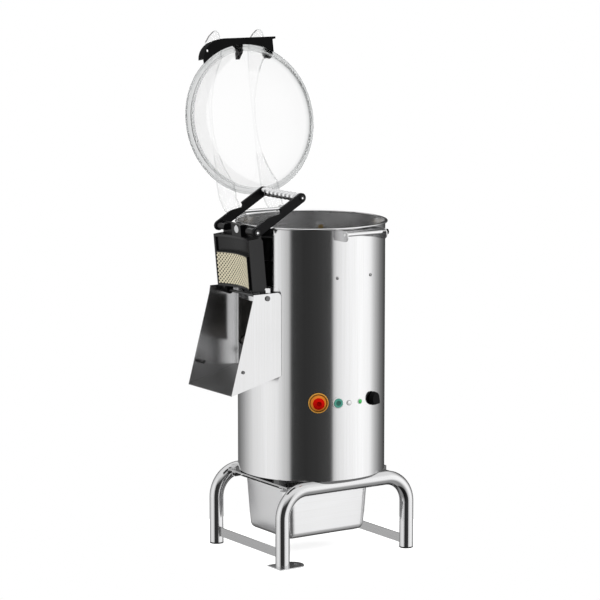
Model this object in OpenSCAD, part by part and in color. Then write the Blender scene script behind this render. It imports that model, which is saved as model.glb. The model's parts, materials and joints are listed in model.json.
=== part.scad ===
// Free-standing electric potato peeler: a stainless tub on a bent-tube stand, a clear domed lid,
// a flip-up discharge door with a clamp handle over a chute, a belt-driven abrasive disc
// and a drip pan that slides out under the tub.
// The tub axis is x = y = 0, the floor is z = 0, the front is -Y and the chute is on -X.

/* [Tub] */
// Outer radius of the tub shell
tub_r = 200; // [190:1:210]
// Sheet thickness of the tub shell
tub_wall = 1.5; // [1:0.1:2.5]
// Height of the tub shell from its base to the rim bead
tub_h = 674.5; // [660:1:690]
// How far the rim bead stands out of the shell
rim_out = 6.5; // [4:0.5:7]
// Height of the rim bead
rim_t = 5.5; // [4:0.5:6]
// Thickness of the base plate
base_t = 4; // [3:0.5:6]
// Height of the chamber floor above the tub base
floor_up = 318.5; // [310:1:325]
// Thickness of the chamber floor
floor_t = 4; // [3:0.5:5]
// Thickness of the abrasive liner
liner_t = 5; // [3:0.5:5]

/* [Discharge opening] */
// Width of the opening in the tub wall
hole_w = 159; // [159:1:162]
// Height of the opening
hole_h = 127; // [125:1:128]
// Height of the lower edge of the opening above the chamber floor's top
hole_up = 26; // [25:1:28]

/* [Stand] */
// Outer diameter of the frame tubes
tube_d = 38; // [34:1:40]
// Wall of the frame tubes
tube_wall = 1.5; // [1:0.1:2.5]
// How far the legs of one frame stand outside the tub's sides
leg_out = 2.5; // [0:0.5:6]
// How far the front and rear frames stand inside the tub's skin
leg_in = 34.5; // [32:0.5:38]
// Height of the centre of the top tubes
stand_top = 202.5; // [196:0.5:206]
// Bend radius of the frame tubes at their centre
bend_r = 73; // [60:1:76]
// Thickness of the rubber foot caps
cap_t = 4; // [3:0.5:5]
// Thickness of the bolted foot plate
flange_t = 3; // [2:0.5:4]
// Radius of the bolt hole in the foot plate
flange_hole_r = 4.5; // [3:0.25:5]
// Width of the flat bars
bar_w = 25; // [20:1:26]
// Thickness of the flat bars
bar_t = 4; // [3:0.5:5]
// Height of the lower edge of the left low bar
left_bar_z = 22; // [18:1:24]
// Height of the lower edge of the right low bar
right_bar_z = 8; // [6:1:20]
// How far the tie bars lie inside the tub's skin
tie_in = 35; // [33:0.5:38]

/* [Drip pan] */
// Length of the pan at its top, along X
pan_l = 270; // [262:1:274]
// Room between the pan's side and the frame tubes
pan_beside = 39; // [38:0.5:41]
// Depth of the pan
pan_h = 143; // [130:1:146]
// How much narrower each wall is at the bottom
pan_taper = 8; // [4:1:10]
// Wall of the pan
pan_wall = 1.5; // [1:0.1:2]
// Width of the pan's rim flange
pan_rim = 15; // [12:0.5:16]
// Place of the pan's middle along X
pan_x = -14; // [-18:1:-8]

/* [Discharge chute] */
// Outer width of the chute
chute_w = 218; // [216:1:222]
// Sheet thickness of the chute
sheet = 1.5; // [1:0.1:2]
// How far the lip stands out from the tub
lip_out = 125; // [115:1:128]
// Height of the lip below the door hinge
lip_drop = 251.5; // [246:0.5:256]

/* [Discharge door] */
// Width of the door casting
door_w = 174; // [172:1:175]
// Depth of the casting behind the tub wall
door_back = 26; // [24:1:27]
// Distance of the hinge from the tub wall
hinge_out = 12; // [11.5:0.5:12.5]
// Height of the hinge above the opening's upper edge
hinge_up = 19.5; // [19:0.5:20.5]
// Angle by which the door stands open
door_open = 174.5; // [170:0.5:176]
// Radius of the door hinge pin
hinge_pin_r = 4; // [3:0.5:4.5]
// Running clearance of hinge pins in their bores
fit = 0.06; // [0.03:0.01:0.09]
// Width of the abrasive pad on the door
pad_w = 150; // [140:1:150]
// Height of the abrasive pad
pad_h = 84; // [76:1:84]

/* [Clamp handle] */
// Distance from the handle's pivot to its grip
arm_l = 164; // [156:1:166]
// Width of the handle's arms
arm_w = 26; // [24:1:27]
// Thickness of the handle's arms
arm_t = 8; // [6:0.5:8.5]
// Gap between the door and each arm
arm_gap = 2; // [1.5:0.25:2.5]
// Depth of the handle's pivot below the door hinge when shut
pivot_drop = 176.7; // [175:0.1:178]
// Offset of the handle's pivot towards the tub
pivot_in = 7.6; // [7:0.1:8.5]
// Angle of the arms above level when folded onto the rim
arm_rest = 30.4; // [29:0.1:32]
// Angle of the arms below level when clamped
arm_clamp = 4; // [3:0.5:5]
// Diameter of the grip
grip_d = 23; // [20:1:25]
// Radius of the latch pins
latch_pin_r = 5; // [4:0.25:5]
// Distance of the latch pins from the handle's pivot
latch_reach = 85.3; // [84:0.1:87]
// Depth of the latch pins below the arm's axis when clamped
latch_drop = 7.7; // [7:0.1:8.5]

/* [Lid] */
// Distance of the lid hinge behind the tub's skin
lid_hinge_out = 53.5; // [50:0.5:56]
// Angle by which the lid stands open
lid_open = 100.3; // [95:0.1:104]
// How far the lid's rim stands past the tub's skin
lid_over = 9; // [8:0.5:10]
// Height of the dome above its rim
dome_h = 100.6; // [90:0.2:104]
// How far the dome's foot lies inside the lid's rim
dome_inset = 12.9; // [12:0.1:14]
// Thickness of the clear plastic
clear_t = 4; // [3:0.5:5]
// Distance of the rib plates from the middle
rib_x = 71.5; // [70:0.5:73]
// Thickness of the rib plates
rib_t = 5; // [4:0.5:5.5]
// Radius of the lid hinge pin
lid_pin_r = 5; // [4:0.5:6]

/* [Front latch bar] */
// Distance of the latch rod from the tub's skin
rod_out = 40; // [38:0.5:43]
// Depth of the latch rod below the rim's top
rod_drop = 13.5; // [13:0.5:15]
// Radius of the latch rod
rod_r = 5; // [4:0.5:5.5]

/* [Controls] */
// Height of the row of controls above the tub base
controls_up = 209; // [205:1:212]
// Radius of the emergency stop's collar
estop_r = 28; // [26:1:31]
// Radius of the emergency stop's head
mushroom_r = 18; // [17:0.5:20]
// Travel of the emergency stop
estop_travel = 4; // [3:0.5:5]
// Radius of the start button
start_r = 12; // [10:0.5:12]
// Travel of the start button
start_travel = 2.5; // [1.5:0.5:3]
// Radius of the lamp lenses
lens_r = 4.8; // [4:0.2:5]
// Radius of the timer knob's round end
knob_r = 19; // [17:0.5:20]
// Height of the timer knob
knob_h = 15; // [14:0.5:18]

/* [Drive] */
// Gap between the abrasive disc and the liner
disc_gap = 2.3; // [1.5:0.1:6]
// Thickness of the abrasive disc
disc_t = 16; // [12:0.5:18]
// Gap between the chamber floor and the disc
disc_up = 12; // [10:0.5:14]
// Radius of the drive shaft
shaft_r = 12.5; // [11:0.5:13]
// Outer radius of the shaft bearings
bearing_r = 26; // [24:0.5:28]
// Height of one shaft bearing
bearing_h = 15; // [12:0.5:16]
// Radius of the driven pulley
pulley_r = 80; // [76:1:82]
// Radius of the motor pulley
motor_pulley_r = 28; // [24:1:30]
// Width of the pulleys
pulley_h = 20; // [18:0.5:22]
// Depth of the belt in the pulleys
belt_deep = 7; // [5:0.5:8]
// Width of the belt
belt_w = 12; // [8:0.5:13]
// Radius of the motor
motor_r = 62; // [56:1:64]
// Height of the motor
motor_h = 196; // [180:1:198]
// Place of the motor along X, as a share of the tub's radius
motor_share_x = 0.3; // [0.28:0.01:0.31]
// Place of the motor along Y, as a share of the tub's radius
motor_share_y = 0.55; // [0.53:0.01:0.56]
// Outer radius of the drain pipe
drain_r = 20; // [16:0.5:22]

/* [Water inlet and cable gland] */
// Radius of the inlet's outer thread
inlet_r = 10.5; // [9:0.25:12]
// Direction of the inlet, from +X towards +Y
inlet_a = 47.9; // [40:0.1:50]
// Height of the inlet below the rim's top
inlet_drop = 44.5; // [42:0.5:46]
// Radius of the cable gland's bore
gland_bore_r = 4.5; // [3:0.25:5]

/* [Hidden] */
$fn = 48;

gap = 0.3;                 // air between pieces that move past each other
seat = 0.2;                // air between a plate and the shell that it is welded into
over = 1;                  // how far a cut runs past the face that it opens
fine = 360;                // segments on large round faces that small pieces lie on
tube_r = tube_d / 2;
base_z = stand_top + tube_r;
tub_top = base_z + tub_h;
rim_top = tub_top + rim_t;
rim_r = tub_r + rim_out;
inner_r = tub_r - tub_wall;
plate_r = inner_r - seat;
floor_z = base_z + floor_up;
floor_top = floor_z + floor_t;
hole_z = floor_top + hole_up;
hole_top = hole_z + hole_h;
lining_r = plate_r - liner_t;

leg_x = tub_r + leg_out;
leg_y = tub_r - leg_in;
tie_x = tub_r - tie_in;
pan_w = 2 * (leg_y - tube_r - pan_beside);
disc_r = lining_r - disc_gap;
motor_x = motor_share_x * tub_r;
motor_y = motor_share_y * tub_r;

tie_t = 4.5;
tie_w = 22;
tie_z = stand_top + 2;
tie_top = tie_z + tie_t;
spacer_y = 0.475 * tub_r;
spacer_l = 26;
bolt_r = 4;
bolt_x = tie_x - 4;
bolt_head = 5.5;
bolt_hole_r = bolt_r + 0.4;

rail_t = 2;
rail_h = 12;
rail_bottom = tie_z - rail_h;
pan_top = rail_bottom + rail_t + gap;
pan_rim_t = 1.8;
pan_half = pan_w / 2 + pan_rim;
rail_out = pan_half + gap + 2 + rail_t;
rail_in = pan_w / 2 + 4.5;
rail_l = 2 * (tie_x + tie_w / 2);
pan_bottom = pan_top - pan_h;
pan_corner = 25;
pan_edge = 18;

flange_x0 = -leg_x - 27.5;
flange_x1 = -leg_x + 62.5;
flange_w = 66;
flange_hole_x = -leg_x + 42;

door_x = -tub_r - hinge_out;
door_z = hole_top + hinge_up;
door_low = hole_z - 12;
door_high = hole_top + 3;
door_half = door_w / 2;
door_depth = -tub_r + 50;
door_wall = 6;
seal_t = 1.1;
door_face_r = tub_r + 0.4 + seal_t;
door_plate_r = door_face_r + 10;
recess_h = 37;
plug_w = pad_w + 5;
plug_low = hole_z + 33;
plug_high = hole_top - 4;
pad_face_r = lining_r;
pad_t = 4;
lug_t = 12;
block_plate = 13;
pivot_lobe_r = 9;
pivot_lobe_l = 33;
magnet_lobe = 22;
lug_r = 10;
bush_r = 9;

pivot_x = door_x + pivot_in;
pivot_z = door_z - pivot_drop;
arm_in = door_half + arm_gap;
arm_out = arm_in + arm_t;
arm_axis_closed = -door_open - arm_rest;
arm_pin_r = 5;
notch_r = latch_pin_r + 1.2;
notch_in = notch_r - 0.4;
notch_mouth = 36;
notch_lean = 22;
pin_x = pivot_x - latch_reach * cos(arm_clamp) + latch_drop * sin(arm_clamp);
pin_z = pivot_z - latch_reach * sin(arm_clamp) - latch_drop * cos(arm_clamp);
chute_half = chute_w / 2;
chute_in = chute_half - sheet;
chute_back = -sqrt(pow(tub_r, 2) - pow(chute_half, 2)) - 1.2;
chute_top = door_z + 12.5;
lip_x = -tub_r - lip_out;
lip_z = door_z - lip_drop;
chute_low = lip_z + 40;
chute_front = door_x - 45;

lid_hinge_y = tub_r + lid_hinge_out;
lid_r = tub_r + lid_over;
lid_far = lid_hinge_y + lid_r;
hinge_z = rim_top - 1.1;
lid_low = rim_top + 0.4;
lid_flange_t = 6;
lid_step_t = 4.2;
lid_flange_top = lid_low + lid_flange_t;
step_top = lid_flange_top + lid_step_t;
step_r = lid_r - 6;
dome_top = lid_low + dome_h;
dome_foot = lid_r - dome_inset;
dome_r = (pow(dome_foot, 2) + pow(dome_h, 2)) / (2 * dome_h);
dome_z = dome_top - dome_r;
collar_r = inner_r - 3.5;
collar_h = 12.4;
rib_eye_r = 10;
ear_t = 3.7;
rib_in = rib_x - rib_t / 2;
ear_out = rib_in - gap;
handle_wall = 5;
handle_front = 18.5;
handle_back = lid_far - 37.5;
handle_left = -134;
handle_right = 107;
leg_1 = [-11, 1];
leg_2 = [83, 97];
handle_tip_t = 6;

rod_y = tub_r + rod_out;
rod_z = rim_top - rod_drop;
rod_left = -56.5;
rod_right = 77;
bracket_t = 3;
bracket_r = 14.5;
bracket_z = rim_top - 2.5 - bracket_r;
bracket_right = 68.5;

controls_z = base_z + controls_up;
estop_a = -28.5;
start_a = -13.1;
white_a = -3.6;
green_a = 6.7;
timer_a = 20.8;
estop_z = controls_z + 4.5;
start_z = controls_z + 2;
timer_z = controls_z + 2;
box_w = 170;
box_d = 45;
box_h = 90;
box_x = -0.5 * tub_r;
box_y = -0.7 * tub_r;
sleeve_r = 14;
sleeve_wall = 1.7;
sleeve_l = 16;
lamp_r = lens_r + 2.4;
lamp_sleeve_r = lens_r + 0.7;
timer_bush_r = 8;
timer_shaft_r = 3;
screw_z = base_z + 546.5;
screw_angles = [-13.6, 18.2];

disc_z = floor_top + disc_up;
disc_top = disc_z + disc_t;
pulley_z = floor_z - 90;
housing_low = pulley_z + pulley_h + 8;
motor_z = base_z + base_t + 6;
motor_top = motor_z + motor_h;
motor_shaft_r = 9.5;
belt_r_big = pulley_r - belt_deep + gap;
belt_r_small = motor_pulley_r - belt_deep + gap;
motor_dist = norm([motor_x, motor_y]);
motor_a = atan2(motor_y, motor_x);
drain_x = -0.6 * tub_r;
drain_y = 0.3 * tub_r;
inlet_z = rim_top - inlet_drop;
gland_a = 115;
gland_z = base_z + 60;

// Moves its children from the shut door's place to where the open door stands
module at_door() {
    translate([door_x, 0, door_z]) rotate([0, door_open, 0])
        translate([-door_x, 0, -door_z]) children();
}

// Moves its children from the shut lid's place to where the open lid stands
module at_lid() {
    translate([0, lid_hinge_y, hinge_z]) rotate([-lid_open, 0, 0])
        translate([0, -lid_hinge_y, -hinge_z]) children();
}

// Puts the origin on the tub's skin at angle a from the front and height z, with +Z outwards
module on_tub(a, z) {
    translate([tub_r * sin(a), -tub_r * cos(a), z]) rotate([0, 0, a]) rotate([90, 0, 0])
        children();
}

// Cuts away what lies inside the tub's skin
module outside_tub(air = 0.05) {
    difference() {
        children();
        cylinder(h = rim_top + over, r = tub_r + air, $fn = fine);
    }
}

// A cylinder along Y, centred on the XZ point given
module along_y(x, z, r, y0, y1) {
    translate([x, y1, z]) rotate([90, 0, 0]) cylinder(h = y1 - y0, r = r);
}

// A cylinder along X, centred on the YZ point given
module along_x(y, z, r, x0, x1) {
    translate([x0, y, z]) rotate([0, 90, 0]) cylinder(h = x1 - x0, r = r);
}

// Extrudes an outline drawn in X and Z, from y0 to y1
module plate_y(y0, y1) {
    translate([0, y1, 0]) rotate([90, 0, 0]) linear_extrude(y1 - y0) children();
}

module ring(r_out, r_in, h) {
    difference() {
        cylinder(h = h, r = r_out);
        translate([0, 0, -over]) cylinder(h = h + 2 * over, r = r_in);
    }
}

// ---- Stand ----

// One bent tube of radius r: two legs that end at z_left and z_right, and the top run
module bent_tube(r, z_left, z_right) {
    straight = leg_x - bend_r;
    knee = stand_top - bend_r;
    translate([-leg_x, 0, z_left]) cylinder(h = knee - z_left, r = r);
    translate([leg_x, 0, z_right]) cylinder(h = knee - z_right, r = r);
    along_x(0, stand_top, r, -straight, straight);
    for (side = [-1, 1])
        translate([side * straight, 0, knee]) rotate([90, 0, 0])
            rotate([0, 0, side > 0 ? 0 : 90])
                rotate_extrude(angle = 90) translate([bend_r, 0]) circle(r);
}

module frame_tube(y, z_left) {
    color("silver") translate([0, y, 0]) difference() {
        bent_tube(tube_r, z_left, cap_t);
        bent_tube(tube_r - tube_wall, z_left - over, cap_t - over);
    }
}

module front_frame_tube() { frame_tube(-leg_y, flange_t); }
module rear_frame_tube() { frame_tube(leg_y, cap_t); }

module low_bars() {
    half = leg_y - tube_r - seat;
    color("gray") {
        translate([-leg_x - bar_t / 2, -half, left_bar_z]) cube([bar_t, 2 * half, bar_w]);
        translate([leg_x - bar_t / 2, -half, right_bar_z]) cube([bar_t, 2 * half, bar_w]);
    }
}

module frame_ties() {
    half = leg_y - tube_r + 0.4;
    color("silver") for (side = [-1, 1]) difference() {
        translate([side * tie_x - tie_w / 2, -half, tie_z]) cube([tie_w, 2 * half, tie_t]);
        for (end = [-1, 1]) translate([side * bolt_x, end * spacer_y, tie_z - over])
            cylinder(h = tie_t + 2 * over, r = bolt_hole_r);
    }
}

// Channels under the ties that carry the drip pan's rim
module pan_rails() {
    color("gray") for (side = [-1, 1]) scale([1, side, 1]) {
        translate([-rail_l / 2, rail_in, tie_z - rail_t])
            cube([rail_l, rail_out - rail_in, rail_t]);
        translate([-rail_l / 2, rail_out - rail_t, rail_bottom])
            cube([rail_l, rail_t, rail_h]);
        translate([-rail_l / 2, rail_in, rail_bottom])
            cube([rail_l, rail_out - rail_in, rail_t]);
    }
}

// Rubber caps with a plug inside each tube end
module foot_caps() {
    color("black") for (place = [[leg_x, -leg_y], [leg_x, leg_y], [-leg_x, leg_y]])
        translate([place[0], place[1], 0]) {
            cylinder(h = cap_t, r = tube_r);
            cylinder(h = cap_t + 14, r = tube_r - tube_wall - 0.1);
        }
}

module floor_flange() {
    color("silver") difference() {
        union() {
            translate([flange_x0, -leg_y - flange_w / 2, 0])
                cube([flange_x1 - flange_x0 - flange_w / 2, flange_w, flange_t]);
            translate([flange_x1 - flange_w / 2, -leg_y, 0])
                cylinder(h = flange_t, r = flange_w / 2);
        }
        translate([flange_hole_x, -leg_y, -over])
            cylinder(h = flange_t + 2 * over, r = flange_hole_r);
    }
}

// ---- Drip pan ----

module rounded_rect(l, w, r) {
    x = l / 2 - r;
    y = w / 2 - r;
    square([l, 2 * y], center = true);
    square([2 * x, w], center = true);
    for (sx = [-1, 1]) for (sy = [-1, 1]) translate([sx * x, sy * y]) circle(r);
}

// The pan's tapered body, drawn in by t on every side
module pan_body(t, z_top) {
    top_r = pan_corner - t;
    low_r = pan_edge - t;
    top = [pan_l / 2 - t - top_r, pan_w / 2 - t - top_r];
    low = [pan_l / 2 - pan_taper - t - low_r, pan_w / 2 - pan_taper - t - low_r];
    hull() for (sx = [-1, 1]) for (sy = [-1, 1]) {
        translate([sx * low[0], sy * low[1], pan_bottom + t + low_r]) sphere(low_r, $fn = 24);
        translate([sx * top[0], sy * top[1], z_top - 0.1]) cylinder(h = 0.1, r = top_r, $fn = 32);
    }
}

module drip_pan() {
    color("gainsboro") translate([pan_x, 0, 0]) difference() {
        union() {
            pan_body(0, pan_top + pan_rim_t / 2);
            translate([0, 0, pan_top]) linear_extrude(pan_rim_t)
                rounded_rect(pan_l + 2 * pan_rim, 2 * pan_half, pan_corner + pan_rim);
        }
        pan_body(pan_wall, pan_top + pan_rim_t + over);
    }
}

// ---- Tub ----

module opening_cut(extra = 0) {
    translate([-tub_r - 20, -hole_w / 2 - extra, hole_z - extra])
        cube([60, hole_w + 2 * extra, hole_h + 2 * extra]);
}

module tub_shell() {
    color("lightsteelblue") difference() {
        translate([0, 0, base_z]) cylinder(h = tub_h, r = tub_r, $fn = 96);
        translate([0, 0, base_z - over]) cylinder(h = tub_h + 2 * over, r = inner_r, $fn = 96);
        opening_cut();
        on_tub(estop_a, estop_z) cylinder(h = 20, r = sleeve_r + 0.2, center = true);
        on_tub(start_a, start_z) cylinder(h = 20, r = sleeve_r + 0.2, center = true);
        for (a = [white_a, green_a])
            on_tub(a, controls_z) cylinder(h = 20, r = lamp_sleeve_r + 0.2, center = true);
        on_tub(timer_a, timer_z) cylinder(h = 20, r = timer_bush_r + 0.2, center = true);
        for (a = screw_angles) on_tub(a, screw_z) cylinder(h = 20, r = 2.6, center = true);
        rotate([0, 0, inlet_a]) along_x(0, inlet_z, inlet_r + 0.2, tub_r - 20, tub_r + 20);
        rotate([0, 0, gland_a]) along_x(0, gland_z, 8.2, tub_r - 20, tub_r + 20);
    }
}

// Rolled bead round the mouth of the tub
module rim_ring() {
    color("silver") translate([0, 0, tub_top]) rotate_extrude($fn = 96)
        translate([inner_r, 0]) {
            round_r = rim_t / 2;
            square([rim_r - inner_r - round_r, rim_t]);
            translate([rim_r - inner_r - round_r, round_r]) circle(round_r);
        }
}

module base_plate() {
    color("gray") difference() {
        translate([0, 0, base_z]) cylinder(h = base_t, r = plate_r, $fn = 96);
        for (side = [-1, 1]) for (end = [-1, 1])
            translate([side * bolt_x, end * spacer_y, base_z - over])
                cylinder(h = base_t + 2 * over, r = bolt_hole_r);
        translate([drain_x, drain_y, base_z - over])
            cylinder(h = base_t + 2 * over, r = drain_r + gap);
    }
}

// Blocks between the ties and the tub's base
module frame_spacers() {
    color("dimgray") for (side = [-1, 1]) for (end = [-1, 1]) difference() {
        translate([side * tie_x - tie_w / 2, end * spacer_y - spacer_l / 2, tie_top])
            cube([tie_w, spacer_l, base_z - tie_top]);
        translate([side * bolt_x, end * spacer_y, tie_top - over])
            cylinder(h = base_z - tie_top + 2 * over, r = bolt_hole_r);
    }
}

module mount_bolts() {
    nut_h = 6.5;
    top = base_z + base_t;
    color("silver") for (side = [-1, 1]) for (end = [-1, 1])
        translate([side * bolt_x, end * spacer_y, 0]) {
            translate([0, 0, tie_z - bolt_head]) cylinder(h = bolt_head, r = 6.5, $fn = 6);
            translate([0, 0, tie_z - bolt_head])
                cylinder(h = top + nut_h + 3 - tie_z + bolt_head, r = bolt_r);
            translate([0, 0, top]) cylinder(h = nut_h, r = 7, $fn = 6);
        }
}

module chamber_floor() {
    color("silver") difference() {
        translate([0, 0, floor_z]) cylinder(h = floor_t, r = plate_r, $fn = 96);
        translate([0, 0, floor_z - over]) cylinder(h = floor_t + 2 * over, r = shaft_r + 14);
        translate([drain_x, drain_y, floor_z - over])
            cylinder(h = floor_t + 2 * over, r = drain_r + seat);
    }
}

// Abrasive lining of the peeling chamber, open at the discharge
module wall_liner() {
    color("tan") difference() {
        translate([0, 0, disc_top + 2]) ring(plate_r, lining_r, hole_top + 40 - disc_top);
        opening_cut(2);
    }
}

// ---- Drive ----

module abrasive_disc() {
    hump_r = 30;
    hump_sink = 22;
    color("dimgray") difference() {
        union() {
            translate([0, 0, disc_z]) cylinder(h = disc_t, r = disc_r, $fn = 96);
            intersection() {
                for (a = [0, 120, 240]) rotate([0, 0, a + 30])
                    along_x(0, disc_top - hump_sink, hump_r, 60, disc_r);
                translate([0, 0, disc_top - over]) cylinder(h = 2 * hump_r, r = disc_r - 12);
            }
            translate([0, 0, disc_z - 6]) cylinder(h = 8, r = 40);
        }
        translate([0, 0, disc_z - 2 * disc_up]) cylinder(h = disc_t + 4 * disc_up, r = shaft_r);
    }
}

module drive_shaft() {
    low = pulley_z - 8;
    color("silver") {
        translate([0, 0, low]) cylinder(h = disc_top - low + 2, r = shaft_r);
        translate([0, 0, disc_top]) ring(24, shaft_r - 1, 5);
        translate([0, 0, disc_top + 5]) cylinder(h = 9, r = 16, $fn = 6);
    }
}

module bearing_housing() {
    height = floor_z - housing_low;
    color("dimgray") difference() {
        union() {
            translate([0, 0, housing_low]) cylinder(h = height, r = 38);
            translate([0, 0, floor_z - 8]) cylinder(h = 8, r = 66);
            for (a = [45:90:359]) rotate([0, 0, a]) translate([34, -3, housing_low + 8])
                cube([30, 6, height - 16]);
        }
        translate([0, 0, housing_low - over]) cylinder(h = height + 2 * over, r = bearing_r + 0.05);
    }
}

module shaft_bearings() {
    color("lightgray") for (z = [housing_low, floor_z - bearing_h])
        translate([0, 0, z]) ring(bearing_r, shaft_r + fit, bearing_h);
}

module shaft_seal() {
    color("black") translate([0, 0, floor_z]) {
        ring(shaft_r + 13.8, shaft_r + fit, floor_t);
        translate([0, 0, floor_t]) ring(shaft_r + 8, shaft_r + fit, 4);
    }
}

// A V-belt pulley with its groove
module pulley(r, bore) {
    mid = pulley_h / 2;
    mouth = belt_w / 2 + 0.8;
    root = mouth - 2;
    rotate_extrude($fn = 64) polygon([
        [bore, 0], [r, 0], [r, mid - mouth], [r - belt_deep, mid - root],
        [r - belt_deep, mid + root], [r, mid + mouth], [r, pulley_h], [bore, pulley_h]]);
}

module driven_pulley() {
    color("gray") translate([0, 0, pulley_z]) pulley(pulley_r, shaft_r);
}

module motor_pulley() {
    color("gray") translate([motor_x, motor_y, pulley_z]) pulley(motor_pulley_r, motor_shaft_r);
}

// Points on the outline of a belt that is t outside its pulley grooves
function belt_line(t) =
    let (big = belt_r_big + t, small = belt_r_small + t,
         lean = acos((big - small) / motor_dist), steps = 24)
    concat(
        [for (i = [0:steps]) let (a = lean + (360 - 2 * lean) * i / steps)
            [big * cos(a), big * sin(a)]],
        [for (i = [0:steps]) let (a = -lean + 2 * lean * i / steps)
            [motor_dist + small * cos(a), small * sin(a)]]);

module drive_belt() {
    thick = belt_deep - gap - 0.6;
    width = 2 * (belt_w / 2 + 0.8 - 2) - 2 * gap;
    color("black") translate([0, 0, pulley_z + (pulley_h - width) / 2]) rotate([0, 0, motor_a])
        linear_extrude(width) difference() {
            polygon(belt_line(thick + 0.5));
            polygon(belt_line(0.5));
        }
}

module motor_body() {
    fin_r = motor_r;
    color("dimgray") translate([motor_x, motor_y, motor_z]) difference() {
        union() {
            cylinder(h = motor_h - 14, r = motor_r - 4);
            for (z = [30:16:150]) translate([0, 0, z]) cylinder(h = 4, r = fin_r);
            cylinder(h = 18, r = fin_r);
            translate([0, 0, motor_h - 32]) cylinder(h = 18, r = fin_r);
            translate([0, 0, motor_h - 14]) cylinder(h = 14, r = 30);
        }
        translate([0, 0, 40]) cylinder(h = motor_h, r = motor_shaft_r + fit);
    }
}

module motor_shaft() {
    low = motor_z + 40 + gap;
    color("silver") translate([motor_x, motor_y, low])
        cylinder(h = pulley_z + pulley_h + 2 - low, r = motor_shaft_r);
}

module motor_bracket() {
    color("gray") difference() {
        translate([motor_x - 55, motor_y - 55, base_z + base_t]) cube([110, 120, 6]);
        translate([0, 0, base_z]) ring(2 * tub_r, plate_r, 20);
    }
}

module drain_pipe() {
    low = pan_top + pan_rim_t + 3;
    color("silver") translate([drain_x, drain_y, 0]) difference() {
        union() {
            translate([0, 0, low]) cylinder(h = floor_top - low, r = drain_r);
            translate([0, 0, floor_z - 4]) cylinder(h = 4, r = drain_r + 9);
        }
        translate([0, 0, low - over]) cylinder(h = floor_top - low + 2 * over, r = drain_r - 2);
    }
}

// ---- Water inlet, cable gland ----

module water_inlet() {
    color("silver") rotate([0, 0, inlet_a]) difference() {
        union() {
            along_x(0, inlet_z, inlet_r, inner_r - 12, tub_r + 36);
            along_x(0, inlet_z, inlet_r + 5, inner_r - 6, inner_r - 1);
            difference() {
                along_x(0, inlet_z, inlet_r + 6, tub_r - 2, tub_r + 8);
                cylinder(h = rim_top, r = tub_r + 0.05, $fn = fine);
            }
        }
        along_x(0, inlet_z, 5, inner_r - 20, tub_r + 40);
    }
}

module spray_nozzle() {
    color("goldenrod") rotate([0, 0, inlet_a]) difference() {
        union() {
            along_x(0, inlet_z, 5, inner_r - 12, inner_r + 10);
            along_x(0, inlet_z, 7, inner_r - 16, inner_r - 12);
        }
        along_x(0, inlet_z, 2, inner_r - 20, tub_r + 20);
    }
}

module cable_gland() {
    color("black") rotate([0, 0, gland_a]) difference() {
        union() {
            along_x(0, gland_z, 8, inner_r - 14, tub_r + 8);
            difference() {
                along_x(0, gland_z, 13, tub_r - 2, tub_r + 6);
                cylinder(h = gland_z + 40, r = tub_r + 0.05, $fn = fine);
            }
            along_x(0, gland_z, 11, tub_r + 6, tub_r + 24);
        }
        along_x(0, gland_z, gland_bore_r, inner_r - 20, tub_r + 30);
    }
}

// ---- Controls ----

module control_box() {
    color("lightgray") {
        translate([box_x, box_y, controls_z - box_h / 2]) cube([box_w, box_d, box_h]);
        translate([box_x + 50, box_y + box_d, base_z + base_t])
            cube([box_w - 50, 3, controls_z + box_h / 2 - base_z - base_t]);
    }
}

// A flanged bush in the tub's wall: its children are the flange, and a bore runs through
module panel_bush(a, z, r, bore, l) {
    difference() {
        union() {
            outside_tub() on_tub(a, z) children();
            on_tub(a, z) translate([0, 0, -l]) cylinder(h = l + 1, r = r);
        }
        on_tub(a, z) translate([0, 0, -2 * l]) cylinder(h = 4 * l, r = bore);
    }
}

module estop_collar() {
    color("orange") panel_bush(estop_a, estop_z, sleeve_r, sleeve_r - sleeve_wall, sleeve_l)
        rotate_extrude() polygon([
            [0, -4], [estop_r, -4], [estop_r, 4], [estop_r - 3, 8], [estop_r - 6, 8],
            [estop_r - 8, 5], [0, 5]]);
}

module estop_button() {
    under = 5 + estop_travel + 3;
    color("red") on_tub(estop_a, estop_z) {
        translate([0, 0, -sleeve_l + 2]) cylinder(h = under + sleeve_l, r = sleeve_r - sleeve_wall - gap);
        rotate_extrude() polygon([
            [0, under], [mushroom_r, under], [mushroom_r, under + 6],
            [mushroom_r - 3, under + 10], [mushroom_r - 9, under + 13], [0, under + 14]]);
    }
}

module start_bezel() {
    color("silver") panel_bush(start_a, start_z, sleeve_r, start_r + gap, sleeve_l)
        rotate_extrude() polygon([
            [0, -2], [start_r + 3, -2], [start_r + 3, 3], [start_r + 2, 4.5], [0, 4.5]]);
}

module start_button() {
    color("mediumaquamarine") on_tub(start_a, start_z)
        translate([0, 0, -8]) cylinder(h = 8 + 4.5 + start_travel - 1, r = start_r);
}

module lamp_bezels() {
    color("silver") for (a = [white_a, green_a])
        panel_bush(a, controls_z, lamp_sleeve_r, lens_r + 0.1, 10)
            translate([0, 0, -1]) cylinder(h = 3, r = lamp_r);
}

module lens(a) {
    on_tub(a, controls_z) {
        translate([0, 0, -8]) cylinder(h = 10, r = lens_r);
        translate([0, 0, 2]) cylinder(h = 1, r1 = lens_r, r2 = lens_r - 1);
    }
}

module white_lens() { color("white") lens(white_a); }
module green_lens() { color("limegreen") lens(green_a); }

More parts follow.
